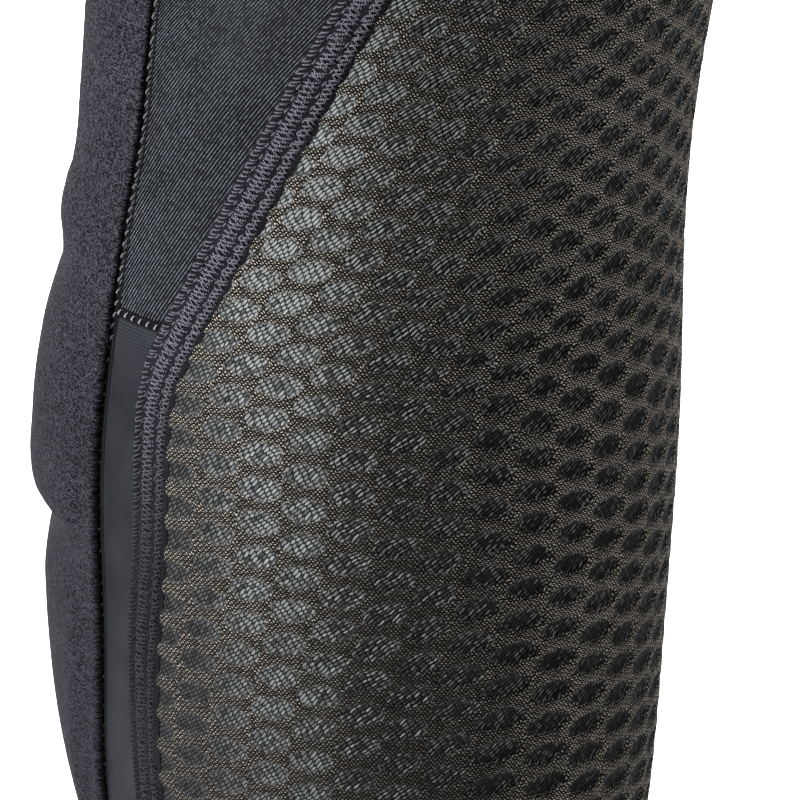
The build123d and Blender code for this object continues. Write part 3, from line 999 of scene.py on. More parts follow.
def add_lock_stitches():
    thread = make_thread("lock_thread", (0.016, 0.015, 0.018), (0.09, 0.088, 0.095))
    # the groove strip beside the cover's edge is painted near black, a painted shadow in the groove
    groove = make_plain_knit("seam_groove_painted_shadow", (0.0008, 0.0008, 0.001), (0.004, 0.004, 0.005), 0.5)
    for side, sign in SIDES:
        parts = MeshParts()
        turn, height = grid(SEAM_LOW, SEAM_HIGH, 241, cover_turn, groove_edge, 5)
        crown = np.array([0.02, -0.02, -0.05, -0.02, 0.02])
        add_sheet(parts, sign * turn, height, WALL + 0.03 + crown, WALL - 0.3, 4)
        stitches = seam_frame(cover_turn, 1.75)
        along = np.linspace(-0.5, 0.5, 5)
        wobble = np.random.default_rng(9).normal(0, 0.07, (len(stitches[0]), 1))
        tucked = 0.6 * (1 - smooth_step(205, 216, stitches[1]))[:, None]
        across = 0.6 - tucked + 0.5 * along + wobble
        paths = seam_paths(stitches, across, along, arch(5, 0.22, -0.04), sign)
        add_threads(parts, paths, STITCH_RADIUS, slot=1)
        seam = parts.build(f"edge_stitches_{side}", [groove, thread])
        hand_over(seam, f"edge_seam_{side}")


CROSS_HALF, CROSS_STITCH = 0.7, 1.35  # half-width of the cross seam and pitch of its stitches


def add_cross_seams():
    thread = bpy.data.materials["lock_thread"]
    # the cross seam's strip takes the same near-black painted shadow
    groove = bpy.data.materials["seam_groove_painted_shadow"]
    for side, sign in SIDES:
        parts = MeshParts()
        height = np.linspace(CROSS_SEAM - CROSS_HALF, CROSS_SEAM + CROSS_HALF, 5)[:, None]
        share = np.linspace(0.09, 0.8, 29)[None, :]
        turn = cover_turn(height) * (1 - share) + flatlock_turn(height) * share
        lift = WALL + np.array([0.02, 0.0, -0.1, -0.05, 0.02])[:, None]
        add_sheet(parts, sign * turn, height, lift, WALL - 0.6, 4)
        start, end = cover_turn(CROSS_SEAM), flatlock_turn(CROSS_SEAM)
        width = (end - start) * reach_per_turn(start, CROSS_SEAM)
        count = int(width * 0.72 / CROSS_STITCH)
        middle = start + (end - start) * np.linspace(0.12, 0.8, count)
        paths = []
        for turn in middle:
            along = np.linspace(-0.42, 0.42, 5)
            step = along * 0.45 / reach_per_turn(turn, CROSS_SEAM)
            lift = WALL + arch(5, 0.26, -0.02)
            paths.append(surface(sign * (turn + step), CROSS_SEAM + along, lift))
        add_threads(parts, paths, STITCH_RADIUS, slot=1)
        seam = parts.build(f"cross_stitches_{side}", [groove, thread])
        hand_over(seam, f"gusset_cross_seam_{side}")


# --- Padded back ----------------------------------------------------------------------

COVER, FOAM = 1.0, 2.2
PAD_RISE, SIDE_RISE, MIDDLE_RISE = 3.0, 2.4, 1.5  # most that the middle stands over the sides
PAD_CORNER = 6.0
ROLL_RADIUS, FLAT_ROLL = 0.82, 0.52  # of the cover's edge, and where it is stitched down flat
OVERHANG, FLAT_OVERHANG = 0.7, 0.15
FLATTENING = (205, 222)  # heights between which the edge goes flat
CLOTH_PRESSURE, CLOTH_FRAMES = 3.0, 20
SWELL = 1.6  # most that the cover stands off its foam
STRAP_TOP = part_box("wrist_strap")[1].z / MM
PADS = ("hand_pad", "forearm_pad_lower", "forearm_pad_middle", "forearm_pad_upper")
# Thickness of the padding under the cover at the side of the back, at heights from the
# middle of the forearm up to the cuff: two steps of pads and a thin layer above them.
SIDE_PADDING = smooth_curve(
    (124, 130, 137, 146, 155, 163, 167, 170.5, 174, 178, 181, 183, 190, 198, 204, 210, 215)
    + (219, 221, 223.5, 226, 228, 231, 240, 248, 254, 264, 275),
    (2.6, 4.0, 5.0, 5.8, 6.0, 5.7, 5.3, 4.4, 2.9, 2.9, 5.7, 5.9, 5.2, 4.4, 3.5, 2.2, 1.1)
    + (1.7, 2.3, 2.4, 1.8, 1.4, 1.1, 1.2, 1.6, 2.5, 2.9, 2.0),
)


def pad_steps(height):
    """1 over a pad, rounded down to 0 past its ends."""
    steps = np.zeros(np.shape(height))
    for node in PADS:
        low, high = (corner.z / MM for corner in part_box(node))
        out = np.maximum(np.maximum(low + 2.5 - height, height - high + 2.5), 0)
        steps += np.sqrt(np.clip(1 - (out / 5.5) ** 2, 0, 1))
    return steps


def cover_lift(turn, height):
    """Lift of the padded cover's outer face, away from its rolled edges."""
    turn, height = np.broadcast_arrays(turn, height)
    side = FOAM + SIDE_RISE * pad_steps(height)
    side = side + (SIDE_PADDING(height) - side) * smooth_step(122, 132, height)
    middle = np.minimum(FOAM + PAD_RISE * pad_steps(height), side + MIDDLE_RISE)
    aside = smooth_step(0.04, 0.34, np.abs(turn))
    back = np.maximum(np.cos(turn), 0) ** 3
    return WALL + COVER + (middle + (side - middle) * aside) * back


def roll_radius(height):
    """Half the height of the cover's rolled edge, smaller where it is stitched down flat."""
    return ROLL_RADIUS + (FLAT_ROLL - ROLL_RADIUS) * smooth_step(*FLATTENING, height)


def cover_edge_columns(height, turns_out):
    """Turn and lift of the rolled edge's points, from under the edge to its top."""
    angles = np.radians([-80, -45, -10, 25, 60, 90])[None, :]
    radius = roll_radius(height)
    overhang = OVERHANG + (FLAT_OVERHANG - OVERHANG) * smooth_step(*FLATTENING, height)
    step = (overhang - radius + radius * np.cos(angles)) / reach_per_turn(turns_out, height)
    return turns_out + step, WALL + 0.06 + radius + radius * np.sin(angles)


def cloth_swell(points):
    """How a grid of points moves as cloth pinned along its edges and blown up from inside."""
    rows, columns = points.shape[:2]
    index = np.arange(rows * columns).reshape(rows, columns)
    corners = [index[:-1, :-1], index[1:, :-1], index[1:, 1:], index[:-1, 1:]]
    faces = np.stack(corners, -1).reshape(-1, 4)
    mesh = bpy.data.meshes.new("cloth_sheet")
    mesh.from_pydata((points.reshape(-1, 3) * MM).tolist(), [], faces.tolist())
    sheet = bpy.data.objects.new("cloth_sheet", mesh)
    scene = bpy.context.scene
    scene.collection.objects.link(sheet)
    edge = np.concatenate([index[0], index[-1], index[:, 0], index[:, -1]])
    sheet.vertex_groups.new(name="pins").add(np.unique(edge).tolist(), 1.0, "REPLACE")
    cloth = sheet.modifiers.new("cloth", "CLOTH")
    cloth.point_cache.frame_end = CLOTH_FRAMES
    cloth.settings.vertex_group_mass = "pins"
    cloth.settings.use_pressure = True
    cloth.settings.uniform_pressure_force = CLOTH_PRESSURE
    cloth.settings.effector_weights.gravity = 0
    for frame in range(1, CLOTH_FRAMES + 1):
        scene.frame_set(frame)
    swollen = sheet.evaluated_get(bpy.context.evaluated_depsgraph_get())
    places = np.empty(rows * columns * 3)
    swollen.data.vertices.foreach_get("co", places)
    scene.frame_set(1)
    bpy.data.objects.remove(sheet)
    bpy.data.meshes.remove(mesh)
    return places.reshape(points.shape) / MM - points


def stretch_grid(values, rows, columns):
    """A grid of values at more rows and columns, smoothed between them."""
    at_rows, at_columns = np.linspace(0, 1, rows), np.linspace(0, 1, columns)
    few_rows, few_columns = (np.linspace(0, 1, count) for count in values.shape)
    values = np.stack([np.interp(at_rows, few_rows, column) for column in values.T], -1)
    values = np.stack([np.interp(at_columns, few_columns, row) for row in values])
    for _ in range(6):
        padded = np.pad(values, 1, mode="edge")
        values = (padded[:-2, 1:-1] + padded[2:, 1:-1] + padded[1:-1, :-2] + padded[1:-1, 2:]) / 4
    return values


def cover_swell(turn, height, lift, step):
    """How far the cover's cloth stands off its foam, blown up between its seams.

    It is laid flat where the strap holds it and towards the sides of the back.
    """
    height = height + np.zeros(turn.shape)
    few_turn, few_height, few_lift = (v[::step, ::step] for v in (turn, height, lift))
    base = surface(few_turn, few_height, few_lift)
    outward = surface(few_turn, few_height, few_lift + 1) - base
    swell = np.maximum((cloth_swell(base) * outward).sum(-1), 0)
    swell *= SWELL / swell.max()
    above_strap = smooth_step(STRAP_TOP + 4, STRAP_TOP + 24, height)
    middle = 1 - smooth_step(0.16, 0.36, np.abs(turn))
    return stretch_grid(swell, *turn.shape) * above_strap * middle


def add_dorsal_cover():
    few_rows, step = 66, 4
    rows = (few_rows - 1) * step + 1
    height = np.linspace(HEM_TOP, CUFF_BOTTOM, rows)[:, None]
    edge_turn, edge_lift = cover_edge_columns(height, cover_turn(height))
    top_turn, top_lift = edge_turn[:, -1:], edge_lift[:, -1:]
    share = np.linspace(1, -1, 90)[None, 1:-1]
    turn = top_turn * share
    from_edge = (top_turn - np.abs(turn)) * reach_per_turn(turn, height)
    blend = smooth_step(0, 5.0, from_edge)
    lift = top_lift * (1 - blend) + cover_lift(turn, height) * blend
    lift = np.maximum(lift, top_lift)
    turn = np.hstack([edge_turn, turn, -edge_turn[:, ::-1]])
    lift = np.hstack([edge_lift, lift, edge_lift[:, ::-1]])
    while (turn.shape[1] - 1) % step:
        turn, lift = np.hstack([turn, turn[:, -1:]]), np.hstack([lift, lift[:, -1:]])
    lift += cover_swell(turn, height, lift, step)
    parts = MeshParts()
    add_sheet(parts, turn, height, lift, np.maximum(lift - COVER, WALL + 0.03), step)
    cover = parts.build("dorsal_cover_knit", [make_brushed_knit()])
    hand_over(cover, "dorsal_cover")


# --- Lining, foam and splints ---------------------------------------------------------


def add_lining():
    turn, height = grid(HEM_TOP, CUFF_BOTTOM, 121, lambda z: -cover_turn(z), cover_turn, 61)
    parts = MeshParts()
    add_sheet(parts, turn, height, WALL, 0.0, 4)
    finish = make_plain_knit("lining_knit", (0.010, 0.010, 0.012), (0.045, 0.044, 0.050), 0.7, 0.1)
    lining = parts.build("dorsal_lining_knit", [finish])
    hand_over(lining, "dorsal_lining")


def make_foam():
    finish = Finish("foam", Roughness=0.9, Specular_IOR_Level=0.15)
    cells = finish.noise(2200, 3)
    finish.paint(cells.ramp(0.35, 0.6), (0.03, 0.03, 0.032), (0.10, 0.10, 0.105))
    finish.bump(cells, 0.15)
    return finish.material


def add_foam():
    """The foam layer and the pads on it, each filling the room that the cover leaves."""
    foam = make_foam()
    height = np.linspace(HEM_TOP + COVER, CUFF_BOTTOM - COVER, 121)[:, None]
    margin = 5.0 / reach_per_turn(cover_turn(height), height)
    turn = (cover_turn(height) - margin) * np.linspace(1, -1, 61)[None, :]
    edge = smooth_step(0, 4, (np.abs(turn[:, :1]) - np.abs(turn)) * reach_per_turn(turn, height))
    lift = WALL + 0.12 + (foam_lift(turn, height) - 0.12) * edge
    parts = MeshParts()
    add_sheet(parts, turn, height, lift, WALL + 0.04, 4)
    base = parts.build("foam_base_layer", [foam])
    hand_over(base, "foam_base")
    for node in PADS:
        low, high = (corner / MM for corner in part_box(node))
        height = np.linspace(low.z + 0.6, high.z - 0.6, 41)[:, None]
        from_end = np.minimum(height - low.z, high.z - height)
        corner = np.clip(PAD_CORNER - from_end, 0, PAD_CORNER)
        half_x = high.x - PAD_CORNER - 1 + np.sqrt(PAD_CORNER**2 - corner**2)
        share = np.linspace(-1, 1, 33)[None, :]
        turn = np.arcsin(np.clip(half_x * share / (half_width_at(height) + WALL + FOAM), -1, 1))
        inset = np.minimum(from_end, (1 - np.abs(share)) * half_x)
        crown = np.sqrt(np.clip(1 - (1 - np.clip(inset / 4.5, 0, 1)) ** 2, 0, 1))
        bottom = WALL + foam_lift(turn, height) + 0.02
        room = np.maximum(cover_lift(turn, height) - COVER - 0.1 - bottom, 0.06)
        parts = MeshParts()
        add_sheet(parts, turn, height, bottom + np.maximum(room * crown, 0.05), bottom, 4)
        pad = parts.build(f"{node}_foam", [foam])
        hand_over(pad, node)


def foam_lift(turn, height):
    """Thickness of the foam layer, which thins towards the sides like the cover over it."""
    layer = (FOAM - 0.7) * np.maximum(np.cos(turn), 0) ** 3
    return np.clip(cover_lift(turn, height) - WALL - COVER - 0.3, 0.1, layer)


def make_splint_plastic():
    finish = Finish("splint_plastic", Roughness=0.42, Specular_IOR_Level=0.45)
    grain = finish.noise(5200, 2)
    patchy = finish.noise(120, 2)
    finish.paint(patchy.ramp(0.3, 0.7), (0.012, 0.012, 0.014), (0.022, 0.022, 0.025))
    finish.bump(grain, 0.05)
    return finish.material


def make_silicone():
    finish = Finish("silicone", Roughness=0.3, Specular_IOR_Level=0.5)
    dots = finish.noise(900, 1)
    finish.paint(dots.ramp(0.4, 0.6), (0.02, 0.021, 0.023), (0.035, 0.036, 0.04))
    finish.bump(dots, 0.1)
    return finish.material


def finish_cad_nodes():
    """Better materials for the rigid CAD pieces that keep their own shape."""
    splint, silicone = make_splint_plastic(), make_silicone()
    for node, finish, slot in (
        ("dorsal_splint", splint, "splint_plastic"),
        ("palmar_splint", splint, "splint_plastic"),
        ("cuff_gripper", silicone, "silicone"),
    ):
        mesh = frame["nodes"][node].data
        mesh.materials.clear()
        mesh.materials.append(finish)


# --- Hem, cuff and thumb binding ------------------------------------------------------

BAND_WALL = 2.2
RIB_PITCH = 1.5
BAND_STITCH = 2.6  # pitch of the stitches round the bands


def make_elastic_knit():
    finish = fabric("elastic_knit", 0.7)
    u, v = finish.map("weave")
    stitches = knit(u, v, RIB_PITCH / 2, 0.45, 0.8)
    patchy = finish.noise(150, 3)
    share = (stitches * 0.8 + patchy * 0.5).ramp(0.2, 1.1)
    finish.paint(share, (0.0012, 0.0012, 0.0016), (0.019, 0.018, 0.022))
    finish.bump(stitches, 0.12)
    return finish.material


def ribbed_band(node, rib_depth, rows):
    """A ribbed tube of knit at one end of the sleeve, with its lowest and highest z."""
    low, high = (corner.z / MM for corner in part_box(node))
    height = np.linspace(low, high, rows)[:, None]
    ribs = int(2 * math.pi * WEAVE_RADIUS / RIB_PITCH)
    turn = np.linspace(0, 2 * math.pi, ribs * 6 // 4 * 4 + 1)[None, :]
    rib = rib_depth * (0.5 + 0.5 * np.cos(turn * ribs))
    ends = np.exp(-(height - low) / 0.7) + np.exp(-(high - height) / 0.7)
    lift = BAND_WALL - rib - 0.9 * ends
    parts = MeshParts()
    add_sheet(parts, turn, height, lift, 0.0, 4, wrap=True)
    return parts, low, high


def add_hem_and_cuff():
    elastic = make_elastic_knit()
    thread = bpy.data.materials["lock_thread"]
    for node, depth, rows, stitch_rows in (
        ("hand_hem", 0.12, 21, (-2.0, -3.6)),
        ("cuff_band", 0.3, 41, (3.0,)),
    ):
        parts, low, high = ribbed_band(node, depth, rows)
        for offset in stitch_rows:
            level = high + offset if offset < 0 else low + offset
            count = int(2 * math.pi * 40 / BAND_STITCH)
            turn = (np.arange(count) * 2 * math.pi / count)[:, None]
            turn = turn + np.linspace(-0.9, 0.9, 5)[None, :] / reach_per_turn(turn, level)
            path = surface(turn, level, BAND_WALL + arch(5, 0.22, -0.12))
            add_threads(parts, path, STITCH_RADIUS, slot=1)
        band = parts.build(f"{node}_knit", [elastic, thread])
        hand_over(band, node)


def ring_shell(points):
    """Faces of a grid of points that closes on itself both ways, and its corner indices."""
    rows, columns = points.shape[:2]
    faces, corners = [], []
    for i in range(rows):
        for j in range(columns):
            m, n = (i + 1) % rows, (j + 1) % columns
            faces.append([i * columns + j, i * columns + n, m * columns + n, m * columns + j])
            corners += [(i, j), (i, j + 1), (i + 1, j + 1), (i + 1, j)]
    return faces, np.array(corners, float)


HOLE_HALF = (10.0, 14.0)  # half-width and half-height of the opening inside the binding
BINDING_MIDDLE, BINDING_HALF, BINDING_RISE = 1.2, 1.15, 1.3
BINDING_STITCHES, BINDING_STITCH_OUT = 34, 1.7


def round_hole(angle, out):
    """Turn and height of points at a distance outside the thumb opening."""
    y = THUMB_CENTRE[0] + (HOLE_HALF[0] + out) * np.cos(angle)
    height = THUMB_CENTRE[1] + (HOLE_HALF[1] + out) * np.sin(angle)
    return turn_of(y, height), height


def add_thumb_binding():
    finish = make_plain_knit("binding_tape", (0.004, 0.004, 0.005), (0.030, 0.029, 0.034), 0.55, 0.1)
    thread = bpy.data.materials["lock_thread"]
    around = np.linspace(0, 2 * math.pi, 120, endpoint=False)[:, None]
    section_angle = np.linspace(0, 2 * math.pi, 16, endpoint=False)[None, :]
    wide = np.sign(np.cos(section_angle)) * np.abs(np.cos(section_angle)) ** 0.6
    tall = np.sign(np.sin(section_angle)) * np.abs(np.sin(section_angle)) ** 0.6
    turn, height = round_hole(around, BINDING_MIDDLE + BINDING_HALF * wide)
    points = surface(turn, height, WALL / 2 + BINDING_RISE * tall)
    faces, corners = ring_shell(points)
    parts = MeshParts()
    parts.add(points, faces, {"weave": corners * [0.66, 0.5]})
    middle = np.arange(BINDING_STITCHES)[:, None] * 2 * math.pi / BINDING_STITCHES
    turn, height = round_hole(middle + np.linspace(-0.045, 0.045, 5)[None, :], BINDING_STITCH_OUT)
    path = surface(turn, height, WALL + 0.5 + arch(5, 0.2, -0.06))
    add_threads(parts, path, 0.15, slot=1)
    binding = parts.build("thumb_binding_tape", [finish, thread])
    hand_over(binding, "thumb_binding")


# --- Palm pocket ----------------------------------------------------------------------

POCKET_CORNER = 8.0
POCKET_STITCH, POCKET_INSET = 2.8, 2.2  # pitch of its stitches, and how far in they are
POCKET_WALL, SPLINT_RISE, STITCH_DIP = 0.85, 1.6, 0.25


def make_suede():
    finish = fabric("grip_suede", 0.9, 0.08, sheen=0.03, sheen_roughness=0.5)
    nap = finish.noise(1500, 4)
    patchy = finish.noise(90, 3)
    share = (nap * 0.7 + patchy * 0.5).ramp(0.35, 0.85)
    finish.paint(share, (0.008, 0.008, 0.009), (0.034, 0.032, 0.034))
    finish.bump(nap, 0.12)
    return finish.material


def add_palm_pocket():
    low, high = (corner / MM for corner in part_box("palmar_pocket"))
    splint_low, splint_high = (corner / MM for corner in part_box("palmar_splint"))
    height = np.linspace(low.z, high.z, 121)[:, None]
    from_end = np.minimum(height - low.z, high.z - height)
    corner = np.clip(POCKET_CORNER - from_end, 0, POCKET_CORNER)
    half_x = high.x - POCKET_CORNER + np.sqrt(POCKET_CORNER**2 - corner**2)
    share = np.linspace(-1, 1, 49)[None, :]
    x = half_x * share
    turn = math.pi - np.arcsin(x / (half_width_at(height) + WALL))
    inset = np.minimum(from_end, (1 - np.abs(share)) * half_x)
    rim = np.sqrt(np.clip(1 - (1 - np.clip(inset / 1.1, 0, 1)) ** 2, 0, 1))
    over_x = smooth_step(splint_high.x + 4.5, splint_high.x + 0.8, np.abs(x))
    over_z = smooth_step(splint_low.z - 4.0, splint_low.z - 0.5, height) * smooth_step(
        splint_high.z + 4.0, splint_high.z + 0.5, height
    )
    stitched = np.exp(-(((inset - POCKET_INSET) / 0.7) ** 2))
    lift = WALL + 0.15 + POCKET_WALL * rim + SPLINT_RISE * over_x * over_z - STITCH_DIP * stitched
    parts = MeshParts()
    add_sheet(parts, turn, height, lift, np.maximum(lift - 1.0, WALL + 0.04), 4)
    outline = []
    half, bottom, top = high.x - POCKET_INSET, low.z + POCKET_INSET, high.z - POCKET_INSET
    radius = POCKET_CORNER - POCKET_INSET
    for centre_x, centre_z, first in (
        (half - radius, top - radius, 0),
        (radius - half, top - radius, 90),
        (radius - half, bottom + radius, 180),
        (half - radius, bottom + radius, 270),
    ):
        for angle in np.radians(np.linspace(first, first + 90, 13)):
            x, z = radius * math.cos(angle), radius * math.sin(angle)
            outline.append((centre_x + x, centre_z + z))
    outline = np.array(outline + outline[:1])
    travelled = np.concatenate([[0], np.cumsum(np.hypot(*np.diff(outline, axis=0).T))])
    count = int(travelled[-1] / POCKET_STITCH)
    at = (np.arange(count)[:, None] + 0.5) * travelled[-1] / count
    at = at + np.linspace(-0.95, 0.95, 5)[None, :]
    x, z = (np.interp(at, travelled, axis) for axis in outline.T)
    turn = math.pi - np.arcsin(x / (half_width_at(z) + WALL))
    add_threads(parts, surface(turn, z, WALL + 0.72 + arch(5, 0.3)), 0.17, slot=1)
    pocket = parts.build("palm_pocket_suede", [make_suede(), bpy.data.materials["lock_thread"]])
    hand_over(pocket, "palmar_pocket")


# --- Wrist strap ----------------------------------------------------------------------

STRAP_A, STRAP_B, STRAP_CENTRE = 36.9, 32.4, 1.4
STRAP_WALL, TAPE, TAPE_GAP, TAB_WALL = 1.4, 0.7, 0.3, 1.2
STRAP_LOW, STRAP_HIGH = (corner.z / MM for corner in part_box("wrist_strap"))
HINGE_ANGLE, STRAP_END = 32.0, 348.0
FOLD_RADIUS = 1.6
TAPE_OUT = STRAP_WALL + TAPE
HOOK_IN = TAPE_OUT + TAPE_GAP
TAB_IN = HOOK_IN + TAPE
TAB_OUT = TAB_IN + TAB_WALL
TAPE_EDGE, STITCH_EDGE, BOX_EDGE = 2.0, 2.9, 4.5  # in from the strap's long edges
STRAP_STITCH = 2.2
# Where pieces start and end round the strap's ring, in degrees.
ANCHOR_SPAN, LOOP_SPAN, LOOP_STITCHES = (263, 287), (297, 346), (298, 345)
TAB_START, HOOK_SPAN, HOOK_STITCHES, FOLD_BOX = -50, (-49, -15), (-48, -16), (8, 22)
PULL_SPAN, PULL_RIDGE = (-61, -49), 2.6


def ring_place(degrees, height, offset):
    """A point on the strap's straight ring."""
    turn = np.radians(degrees)
    turn, height, offset = np.broadcast_arrays(turn, height, offset)
    x = (STRAP_A + offset) * np.sin(turn)
    y = STRAP_CENTRE - (STRAP_B + offset) * np.cos(turn)
    return np.stack([x, y, height], -1)


def strap_place(degrees, height, offset):
    """A point on the strap, which lies close to the sleeve away from its fold and patch."""
    turn = np.radians(degrees)
    over_palm = 1 - smooth_step(32, 55, np.abs(degrees - 180))
    hugging = surface(turn, height, WALL + 0.75 + 2.1 * over_palm + offset)
    close = smooth_step(42, 78, degrees) * (1 - smooth_step(262, 294, degrees))
    close = np.broadcast_to(close, hugging.shape[:2])[..., None]
    return ring_place(degrees, height, offset) * (1 - close) + hugging * close


def add_ribbon(parts, place, start, end, inner, outer, low, high, columns, ridge=None):
    """A flat strip with rounded long edges between two angles of the strap's ring."""
    degrees = np.linspace(start, end, columns)[None, :]
    across = np.linspace(-1, 1, 25)[:, None]
    middle, half = (low + high) / 2, (high - low) / 2
    height = middle + half * np.sign(across) * np.abs(across) ** 0.8
    crown = (1 - np.abs(across) ** 10) ** 0.5
    centre, thick = (inner + outer) / 2, (outer - inner) / 2
    proud = thick * (0.25 + 0.75 * crown)
    top = centre + proud + (ridge(degrees, across) if ridge else 0)
    bottom = np.broadcast_to(centre - proud, (25, columns))
    outer_points = place(degrees, height, top)
    inner_points = place(degrees, height, bottom)[::4, ::4]
    length = np.radians(degrees) * (STRAP_A + STRAP_B) / 2
    maps = {"weave": np.stack(np.broadcast_arrays(length, height), -1)}
    parts.add(*sheet_shell(outer_points, inner_points, maps))


def make_webbing():
    finish = fabric("webbing", 0.6, 0.1)
    u, v = finish.map("weave")
    chevron = (v / 4.0).off_middle() * 2
    weft = (u / 0.55 + chevron).wave()
    warp = (v / 0.5).wave()
    height = weft * 0.7 + warp * 0.3
    patchy = finish.noise(150, 2)
    share = (height * 0.8 + patchy * 0.4).ramp(0.2, 1.0)
    finish.paint(share, (0.0012, 0.0012, 0.0015), (0.012, 0.012, 0.014))
    finish.bump(height, 0.16)
    return finish.material


def make_loop_tape():
    finish = fabric("loop_tape", 0.95, 0.08, sheen=0.03, sheen_roughness=0.5)
    loops = finish.noise(3000, 4)
    rows = (finish.map("weave")[0] / 1.2).wave()
    height = loops * 0.8 + rows * 0.2
    finish.paint(height.ramp(0.3, 0.75), (0.002, 0.002, 0.0025), (0.03, 0.03, 0.034))
    finish.bump(height, 0.3)
    return finish.material


def make_hook_tape():
    finish = Finish("hook_tape", Roughness=0.4, Specular_IOR_Level=0.45)
    u, v = finish.map("weave")
    hook = ((u / 0.9).off_middle().power(2) + (v / 0.7).off_middle().power(2)).ramp(0.8, 0.2)
    finish.paint(hook, (0.003, 0.003, 0.0035), (0.03, 0.03, 0.034))
    finish.bump(hook, 0.35)
    return finish.material


def make_pull_rubber():
    finish = Finish("pull_rubber", Roughness=0.6, Specular_IOR_Level=0.35)
    grain = finish.noise(4200, 3)
    patchy = finish.noise(200, 2)
    finish.paint(patchy.ramp(0.3, 0.7), (0.010, 0.010, 0.011), (0.018, 0.018, 0.020))
    finish.bump(grain, 0.08)
    return finish.material


def stitch_line(parts, place, start, end, offset, slot):
    """Threads in a straight line between two (degrees, height) places on the strap."""
    radius = (STRAP_A + STRAP_B) / 2
    start, end = np.array(start, float), np.array(end, float)
    run = np.hypot(np.radians(end[0] - start[0]) * radius, end[1] - start[1])
    count = max(int(run / STRAP_STITCH), 1)
    middle = (np.arange(count)[:, None] + 0.5) / count
    half = 0.38 / count
    share = middle + np.linspace(-half, half, 5)[None, :]
    degrees = start[0] + (end[0] - start[0]) * share
    height = start[1] + (end[1] - start[1]) * share
    paths = place(degrees, height, offset + arch(5, 0.22, -0.06)[None, :])
    add_threads(parts, paths, 0.17, slot=slot)


def stitch_frame(parts, place, span, low, high, offset, slot):
    """Stitches along the four sides of a rectangle."""
    for level in (low, high):
        stitch_line(parts, place, (span[0], level), (span[1], level), offset, slot)
    for degrees in span:
        stitch_line(parts, place, (degrees, low), (degrees, high), offset, slot)


def stitch_box(parts, place, span, low, high, offset, slot):
    """A stitched rectangle with a cross in it."""
    stitch_frame(parts, place, span, low, high, offset, slot)
    stitch_line(parts, place, (span[0], low), (span[1], high), offset, slot)
    stitch_line(parts, place, (span[1], low), (span[0], high), offset, slot)


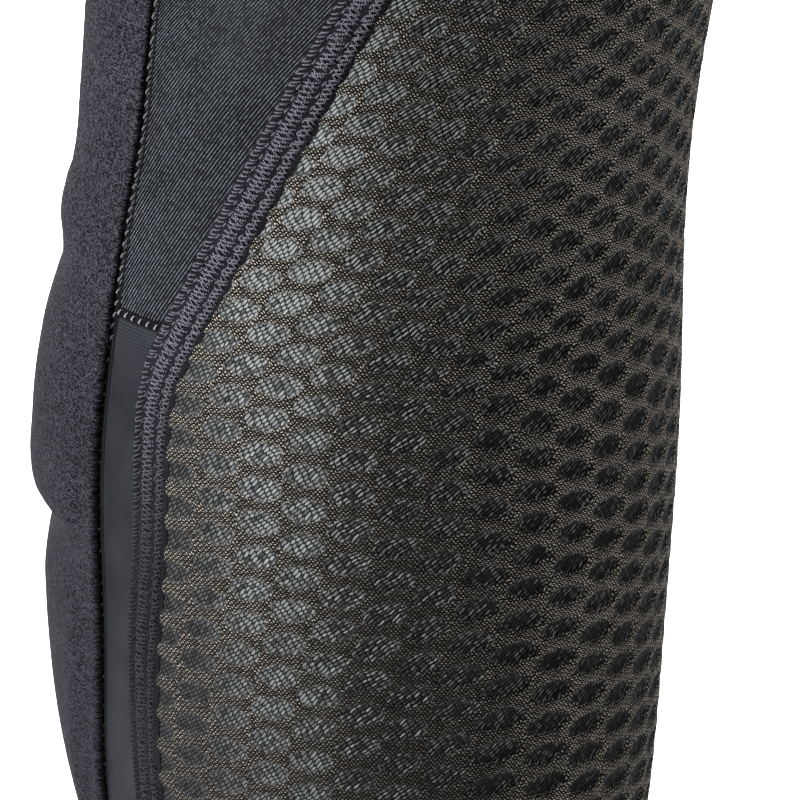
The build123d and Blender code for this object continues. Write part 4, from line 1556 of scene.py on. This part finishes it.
def add_strap():
    webbing, thread = make_webbing(), bpy.data.materials["lock_thread"]
    low, high = STRAP_LOW, STRAP_HIGH
    tape, stitched = (low + TAPE_EDGE, high - TAPE_EDGE), (low + STITCH_EDGE, high - STITCH_EDGE)

    parts = MeshParts()
    add_ribbon(parts, strap_place, HINGE_ANGLE - 2, STRAP_END, 0, STRAP_WALL, low, high, 317)
    hinge = ring_place(HINGE_ANGLE, 0.0, TAB_IN - FOLD_RADIUS + TAB_WALL)
    around = np.linspace(0, 2 * math.pi, 25)[None, :]
    height = np.linspace(low, high, 41)[:, None]
    from_end = np.minimum(height - low, high - height)
    radius = FOLD_RADIUS * (0.7 + 0.3 * np.sqrt(1 - (1 - np.clip(from_end / 0.8, 0, 1)) ** 2))
    x, y = hinge[0] + radius * np.cos(around), hinge[1] + radius * np.sin(around)
    bead = np.stack(np.broadcast_arrays(x, y, height), -1)
    x, y = hinge[0] + 0.3 * np.cos(around), hinge[1] + 0.3 * np.sin(around)
    core = np.stack(np.broadcast_arrays(x, y, height), -1)
    maps = {"weave": np.stack(np.broadcast_arrays(FOLD_RADIUS * around, height), -1)}
    parts.add(*sheet_shell(bead, core[::4, ::4], maps, wrap=True))
    strap = parts.build("wrist_strap_webbing", [webbing])
    hand_over(strap, "wrist_strap")

    parts = MeshParts()
    stitch_box(parts, strap_place, ANCHOR_SPAN, low + BOX_EDGE, high - BOX_EDGE, STRAP_WALL, 0)
    stitches = parts.build("anchor_stitches", [thread])
    hand_over(stitches, "anchor_stitch")

    parts = MeshParts()
    add_ribbon(parts, ring_place, *LOOP_SPAN, STRAP_WALL, TAPE_OUT, *tape, 49)
    for level in stitched:
        start, end = ((degrees, level) for degrees in LOOP_STITCHES)
        stitch_line(parts, ring_place, start, end, TAPE_OUT, 1)
    patch = parts.build("loop_patch_tape", [make_loop_tape(), thread])
    hand_over(patch, "loop_patch")

    parts = MeshParts()
    add_ribbon(parts, ring_place, TAB_START, HINGE_ANGLE, TAB_IN, TAB_OUT, low, high, 121)
    stitch_frame(parts, ring_place, HOOK_STITCHES, *stitched, TAB_OUT, 1)
    stitch_box(parts, ring_place, FOLD_BOX, low + BOX_EDGE, high - BOX_EDGE, TAB_OUT, 1)
    tab = parts.build("strap_tab_webbing", [webbing, thread])
    fold_start = ring_place(HINGE_ANGLE - 0.5, (low + high) / 2, TAB_OUT - FOLD_RADIUS) * MM
    fold_end = ring_place(HINGE_ANGLE - 9, (low + high) / 2, TAB_OUT - FOLD_RADIUS) * MM
    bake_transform(tab)
    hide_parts("strap_tab")

    parts = MeshParts()
    add_ribbon(parts, ring_place, *HOOK_SPAN, HOOK_IN, TAB_IN, *tape, 49)
    patch = parts.build("hook_patch_tape", [make_hook_tape()])
    hand_over(patch, "hook_patch", body="strap_tab")

    def ridges(degrees, across):
        wave = np.maximum(np.cos(np.radians((degrees + 55.5) * 360 / PULL_RIDGE)), 0)
        end = smooth_step(PULL_SPAN[0] + 1, PULL_SPAN[0] + 2, degrees)
        return 0.45 * wave * smooth_step(1.0, 0.75, np.abs(across)) * end

    parts = MeshParts()
    inner, outer = HOOK_IN + 0.2, TAB_OUT + 0.1
    add_ribbon(parts, ring_place, *PULL_SPAN, inner, outer, *tape, 61, ridge=ridges)
    pull = parts.build("pull_tab_rubber", [make_pull_rubber()])
    hand_over(pull, "pull_tab", body="strap_tab")


# --- Making everything ----------------------------------------------------------------

add_camera()
add_studio()
add_mesh_panel()
add_gussets()
add_flatlock_seams()
add_lock_stitches()
add_cross_seams()
add_dorsal_cover()
add_lining()
add_foam()
finish_cad_nodes()
add_hem_and_cuff()
add_thumb_binding()
add_palm_pocket()
add_strap()
